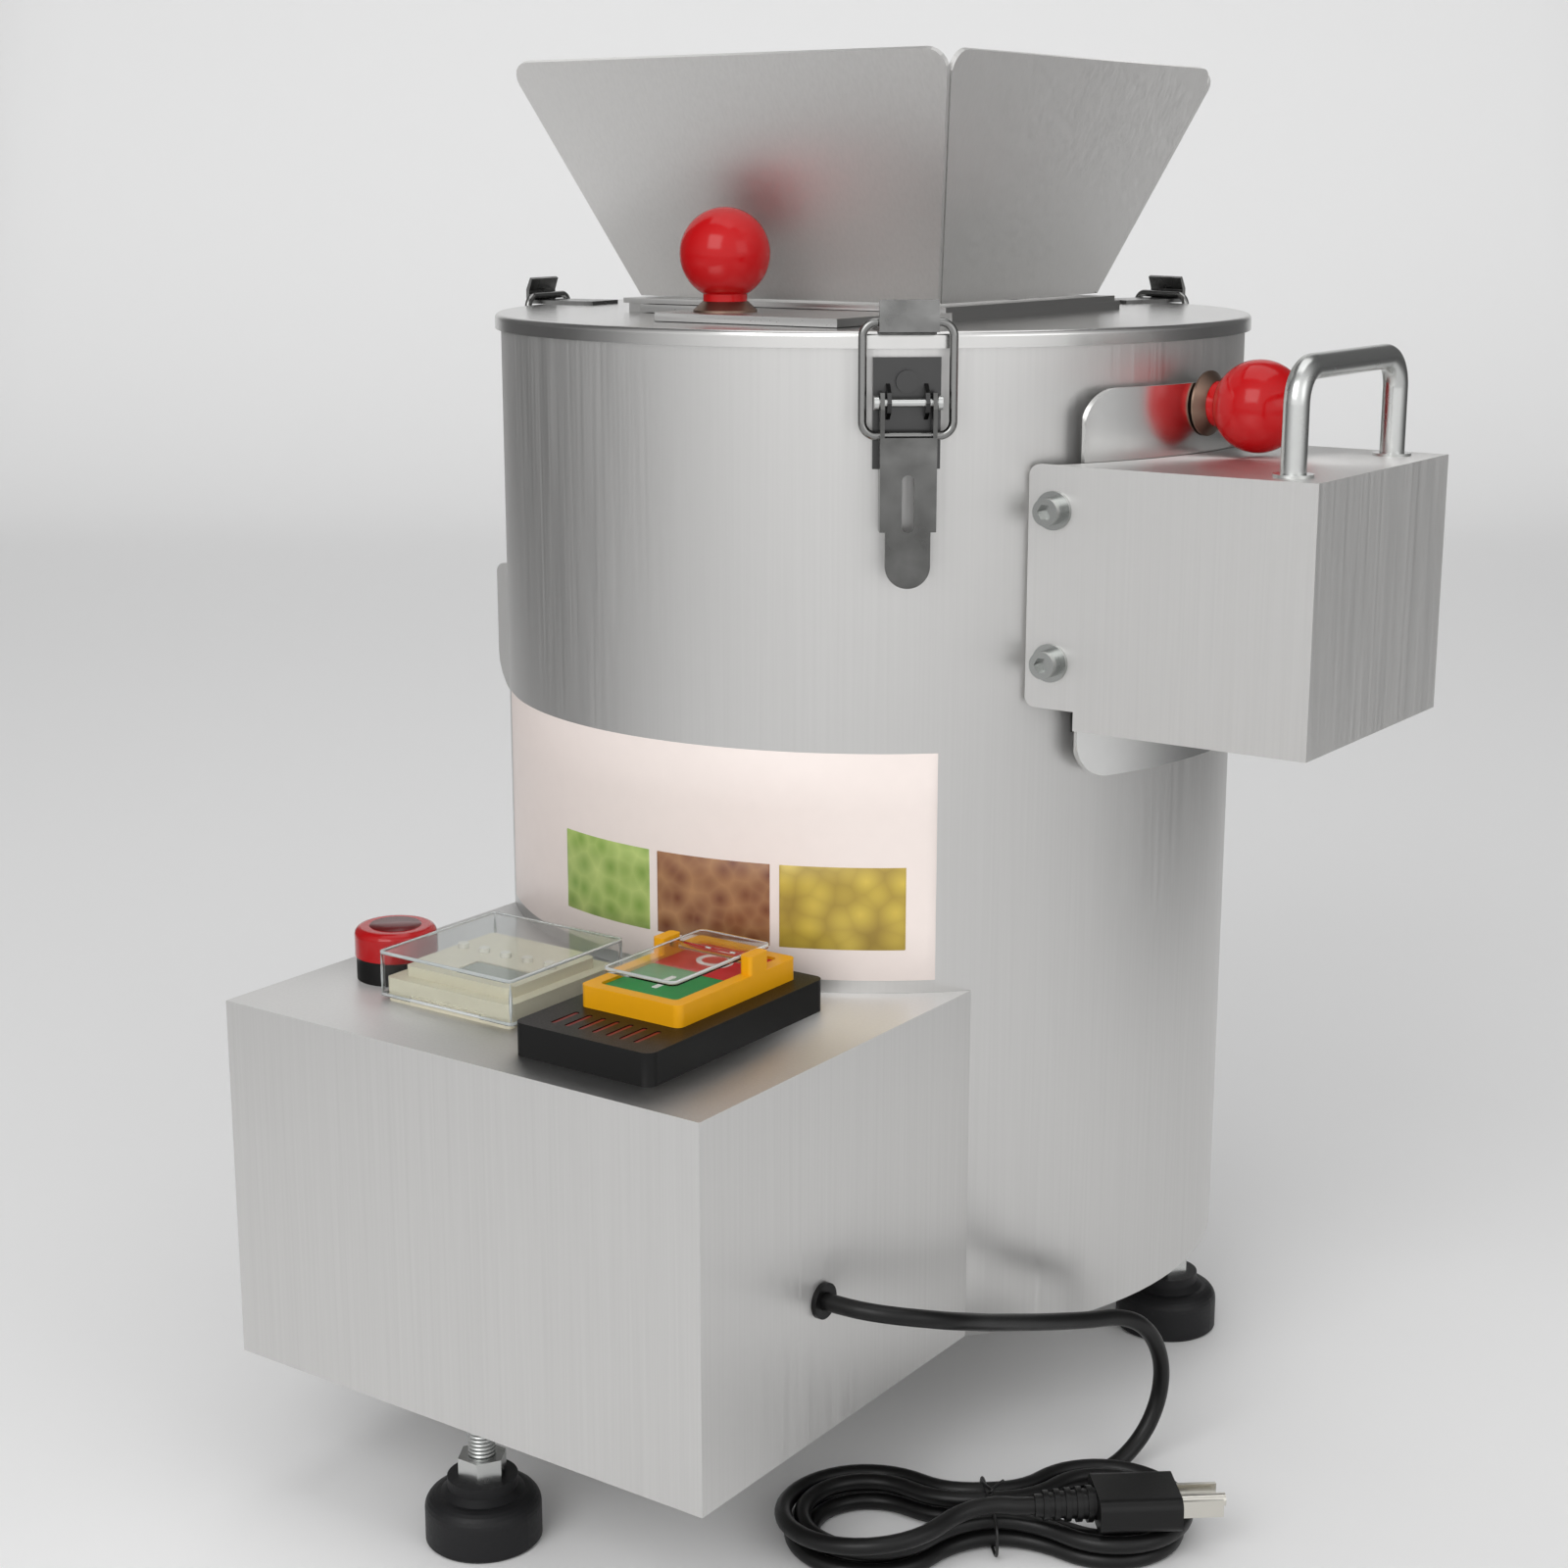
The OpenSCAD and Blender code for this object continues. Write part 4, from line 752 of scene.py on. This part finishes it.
    @staticmethod
    def smooth(points: np.ndarray, parts: int) -> np.ndarray:
        """Draws a Catmull-Rom curve through points.

        Args:
            points: Points of shape (n, 3).
            parts: Steps between two points.

        Returns:
            The finer line, ends included.
        """
        ends = np.concatenate([[2 * points[0] - points[1]], points, [2 * points[-1] - points[-2]]])
        a, b, c, d = ends[:-3, None], ends[1:-2, None], ends[2:-1, None], ends[3:, None]
        t = np.linspace(0.0, 1.0, parts, endpoint=False)[None, :, None]
        square, cube = 2 * a - 5 * b + 4 * c - d, 3 * b - a - 3 * c + d
        curve = b + 0.5 * ((c - a) * t + square * t**2 + cube * t**3)
        return np.concatenate([curve.reshape(-1, 3), points[-1:]])

    def tie(self) -> None:
        """Wraps a wire round the hank's waist, with its two ends twisted together above.

        The loop is a squared ellipse. The ends are two helices half a turn apart, which spread out
        after their last twist.
        """
        pitch = self.diameter + self.rib
        half_w = self.waist_half + 2.0 * pitch + self.diameter / 2.0 + self.tie_wire
        high = self.diameter + pitch + self.tie_wire
        turn = np.linspace(0.0, 2.0 * math.pi, 65)
        squareness = 0.5
        y = half_w * np.sign(np.cos(turn)) * np.abs(np.cos(turn)) ** squareness
        z = high / 2.0 * (1.0 + np.sign(np.sin(turn)) * np.abs(np.sin(turn)) ** squareness)
        loop = np.c_[np.zeros_like(turn), y, z + self.tie_wire / 2.0]
        rise = np.linspace(0.0, 1.0, 40)
        twisted, lean, tall = 0.6, 6.0, 11.0
        ends = []
        for side in (0.0, math.pi):
            spin = side + 5.0 * math.pi * np.minimum(rise, twisted)
            gap = 0.8 + 9.0 * np.maximum(rise - twisted, 0.0)
            x, y = gap * np.cos(spin), gap * np.sin(spin) - lean * rise
            ends.append(np.c_[x, y, high + tall * rise])
        thick, up = self.tie_wire / 2.0 * MM, self.heading()
        wires = [swept_tube(self.in_row(line) * MM, thick, 8, up) for line in (loop, *ends)]
        finish = SLOT_FINISHES["tie_plastic"]
        tie = Mesh.joined(wires).piece("hank_tie_wire", finish, Body.MACHINE, "tie_plastic")
        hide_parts("hank_tie")

    def heading(self) -> tuple[float, float, float]:
        """Returns the hank's long direction in the row frame."""
        return tuple(self.in_row_turn(np.array([1.0, 0.0, 0.0])))


@dataclass
class DrumLabel:
    """Sheet label on the drum's front, pale with a row of mottled tiles. Sizes are in metres."""

    axis: Vector
    radius: float
    from_deg: float = -133.0
    to_deg: float = -47.0
    low: float = 0.1994
    high: float = 0.2855
    tile_low: float = 0.211
    tile_high: float = 0.243
    tile_from: float = -108.0
    tile_to: float = -50.0
    tile_gap: float = 1.2
    lift: float = 0.00025

    def patch(self, from_deg: float, to_deg: float, low: float, high: float, lift: float) -> Mesh:
        """Bends a rectangle round the drum.

        Args:
            from_deg: Angle of its left edge.
            to_deg: Angle of its right edge.
            low: Height of its lower edge.
            high: Height of its upper edge.
            lift: Height of its face above the drum's skin.

        Returns:
            The patch, with a rim that meets the skin.
        """
        inset = np.degrees(lift / self.radius)
        turn = np.r_[from_deg, np.linspace(from_deg + inset, to_deg - inset, 65), to_deg]
        rise = np.r_[low, np.linspace(low + lift, high - lift, 5), high]
        edge = np.zeros((len(turn), len(rise)))
        edge[1:-1, 1:-1] = lift
        r = self.radius + SKIN_GAP + edge
        a = np.radians(turn)[:, None]
        x, y = self.axis.x + r * np.cos(a), self.axis.y + r * np.sin(a)
        z = np.broadcast_to(rise[None, :], r.shape)
        return Mesh.grid(np.stack([x, y, z], axis=-1))

    def build(self) -> None:
        """Makes the sheet and its tiles."""
        sheet = self.patch(self.from_deg, self.to_deg, self.low, self.high, self.lift)
        sheet.piece("drum_label", LABEL_SHEET, Body.MACHINE, "stainless_sheet")
        width = (self.tile_to - self.tile_from) / len(LABEL_TILES)
        for i, finish in enumerate(LABEL_TILES):
            start = self.tile_from + i * width
            end = start + width - self.tile_gap
            tile = self.patch(start, end, self.tile_low, self.tile_high, 2.0 * self.lift)
            tile.piece(f"label_tile_{i}", finish, Body.MACHINE, "stainless_sheet")


@dataclass
class ControlPanel:
    """Marks and windows of the timer, switch and buzzer. Sizes are in metres."""

    mark_t: float = 0.0002
    edge_r: float = 0.0006
    cover_w: float = 0.0642
    cover_h: float = 0.017
    cover_corner: float = 0.0022
    post_inset: float = 0.001
    flap_w: float = 0.032
    flap_corner: float = 0.003
    display_from: tuple[float, float] = (0.008, 0.016)
    display_size: tuple[float, float] = (0.0254, 0.0124)
    display_recess: float = 0.001
    bar_size: tuple[float, float] = (0.0022, 0.012)
    ring_radii: tuple[float, float] = (0.0048, 0.0068)
    groove_count: int = 7
    groove_pitch: float = 0.006
    groove_at: float = 0.014
    groove_size: tuple[float, float] = (0.0017, 0.0135)
    disc_radii: tuple[float, float] = (0.0098, 0.0095)

    def build(self) -> None:
        """Makes every mark on the panel."""
        self.timer_window()
        self.painted_edge_highlights()
        self.button_marks()
        self.switch_bars()
        self.lens_disc()

    def timer_window(self) -> None:
        """Lays a display glass in the timer's recess."""
        low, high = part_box("timer_body")
        right, back = self.display_from
        mid = Vector(((low.x + high.x) / 2.0 + right, low.y + back, 0.0))
        floor = high.z - self.display_recess
        glass = flat_slab(mid, *self.display_size, floor + SKIN_GAP, floor + 0.0006, 0.001)
        glass.piece("timer_display", DISPLAY, Body.MACHINE, "beige_plastic", smooth=False)

    def painted_edge_highlights(self) -> None:
        """Draws pale rods along the edges of the timer's cover and the switch's flap, as a painted
        highlight for the light that thick clear plastic gathers at its edges.
        """
        low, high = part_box("timer_cover")
        back = low.y + self.cover_w
        foot = high.z - self.cover_h
        near, far = (low.x, low.y), (high.x, back)
        rods = [
            self.rounded_loop(near, far, height, self.cover_corner)
            for height in (high.z - self.edge_r, foot + self.edge_r)
        ]
        rise = np.linspace(foot, high.z - self.post_inset, 4)
        for x in (low.x + self.post_inset, high.x - self.post_inset):
            for y in (low.y + self.post_inset, back - self.post_inset):
                post = np.c_[np.full_like(rise, x), np.full_like(rise, y), rise]
                rods.append(swept_tube(post, self.edge_r, 8, (1.0, 0.0, 0.0)))
        Mesh.joined(rods).piece("cover_edge_highlights", EDGE_HIGHLIGHT, Body.COVER, "clear_plastic")
        low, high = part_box("switch_flap")
        inset = (high.x - low.x - self.flap_w) / 2.0
        near, far = (low.x + inset, low.y), (high.x - inset, high.y)
        rim = self.rounded_loop(near, far, high.z - self.edge_r, self.flap_corner)
        rim.piece("flap_edge_highlight", EDGE_HIGHLIGHT, Body.FLAP, "clear_plastic")

    def rounded_loop(
        self, low: tuple[float, float], high: tuple[float, float], height: float, corner: float
    ) -> Mesh:
        """Bends a thin rod round a rectangle with round corners, just inside its outline.

        Args:
            low: Least x and y of the outline.
            high: Greatest x and y of the outline.
            height: Height of the rod's middle.
            corner: Radius of the outline's corners.

        Returns:
            The rod as a closed ring.
        """
        side, out = round_corners()
        center, half = (np.array(low) + high) / 2.0, (np.array(high) - low) / 2.0
        line = center + side * (half - corner) + out * (corner - self.edge_r)
        around = np.linspace(0.0, 2.0 * math.pi, 8, endpoint=False)
        flat = line[:, None, :] + self.edge_r * np.cos(around)[None, :, None] * out[:, None, :]
        rise = np.broadcast_to(height + self.edge_r * np.sin(around), flat.shape[:2])
        points = np.concatenate([flat, rise[..., None]], axis=-1)
        return Mesh.grid(points[:, ::-1], wrap_u=True, wrap_v=True)

    @staticmethod
    def turned(node: str, radii: list[float], rises: list[float]) -> np.ndarray:
        """Turns a profile about the upright line through the middle of a node's top.

        Args:
            node: The node that the profile stands on.
            radii: Distances of the profile's points from the line.
            rises: Their heights above the node's top.

        Returns:
            Points of shape (turns, profile, 3).
        """
        low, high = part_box(node)
        mid = (low + high) / 2.0
        turn = np.linspace(0.0, 2.0 * math.pi, 64, endpoint=False)[:, None]
        radius, rise = np.array(radii)[None, :], np.array(rises)[None, :]
        x, y = mid.x + radius * np.cos(turn), mid.y + radius * np.sin(turn)
        return np.stack([x, y, np.broadcast_to(high.z + rise, x.shape)], axis=-1)

    def button_marks(self) -> None:
        """Lays a bar on the start button and a ring on the stop button."""
        low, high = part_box("start_button")
        mid = (low + high) / 2.0
        bar = flat_slab(mid, *self.bar_size, high.z, high.z + self.mark_t, 0.0004)
        bar.piece("start_mark", WHITE_MARK, Body.START, "green_plastic", smooth=False)
        inner, outer = self.ring_radii
        top = self.mark_t
        ring = self.turned("stop_button", [inner, inner, outer, outer], [0.0, top, top, 0.0])
        mark = Mesh.grid(ring[:, ::-1], wrap_u=True)
        mark.piece("stop_mark", WHITE_MARK, Body.STOP, "red_plastic", smooth=False)

    def switch_bars(self) -> None:
        """Lays a dark red strip in each groove of the switch's foot."""
        low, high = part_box("switch_base")
        first = (low.x + high.x) / 2.0 - self.groove_pitch * (self.groove_count - 1) / 2.0
        strips = []
        for i in range(self.groove_count):
            mid = Vector((first + self.groove_pitch * i, low.y + self.groove_at, 0.0))
            strips.append(flat_slab(mid, *self.groove_size, high.z - 0.00058, high.z - 0.0003, 0.0006))
        bars = Mesh.joined(strips)
        bars.piece("switch_grooves", RED_MARK, Body.MACHINE, "black_plastic", smooth=False)

    def lens_disc(self) -> None:
        """Lays a dark disc in the middle of the buzzer's lens."""
        disc = self.turned("buzzer_lens", [*self.disc_radii, 0.0], [0.00005, 0.0004, 0.0004])
        Mesh.grid(disc, wrap_u=True).piece("buzzer_disc", LENS_DISC, Body.MACHINE, "red_lens")


def dress_nodes(frame: dict) -> None:
    """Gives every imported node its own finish, or that of its material slot.
    """
    for part in frame["record"]["subparts"]:
        finish = NODE_FINISHES.get(part["node"], SLOT_FINISHES[part["material_slot"]])
        data = frame["nodes"][part["node"]].data
        data.materials.clear()
        data.materials.append(finish.material())


def main() -> None:
    """Builds the studio and every sub-assembly in order."""
    logging.basicConfig(level=logging.INFO, format="%(message)s")
    for known in list(bpy.data.objects):
        bpy.data.objects.remove(known)
    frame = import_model()
    low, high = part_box("drum_shell")
    axis = Vector(((low.x + high.x) / 2.0, (low.y + high.y) / 2.0, 0.0))
    Studio(axis).build()
    gland_low, gland_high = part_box("cord_gland")
    _, box_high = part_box("control_box")
    middle = (gland_low + gland_high) / 2.0
    dress_nodes(frame)
    MainsLead(Vector((box_high.x, middle.y, middle.z))).build()
    DrumLabel(axis, (high.x - low.x) / 2.0).build()
    ControlPanel().build()


if __name__ == "__main__":
    main()
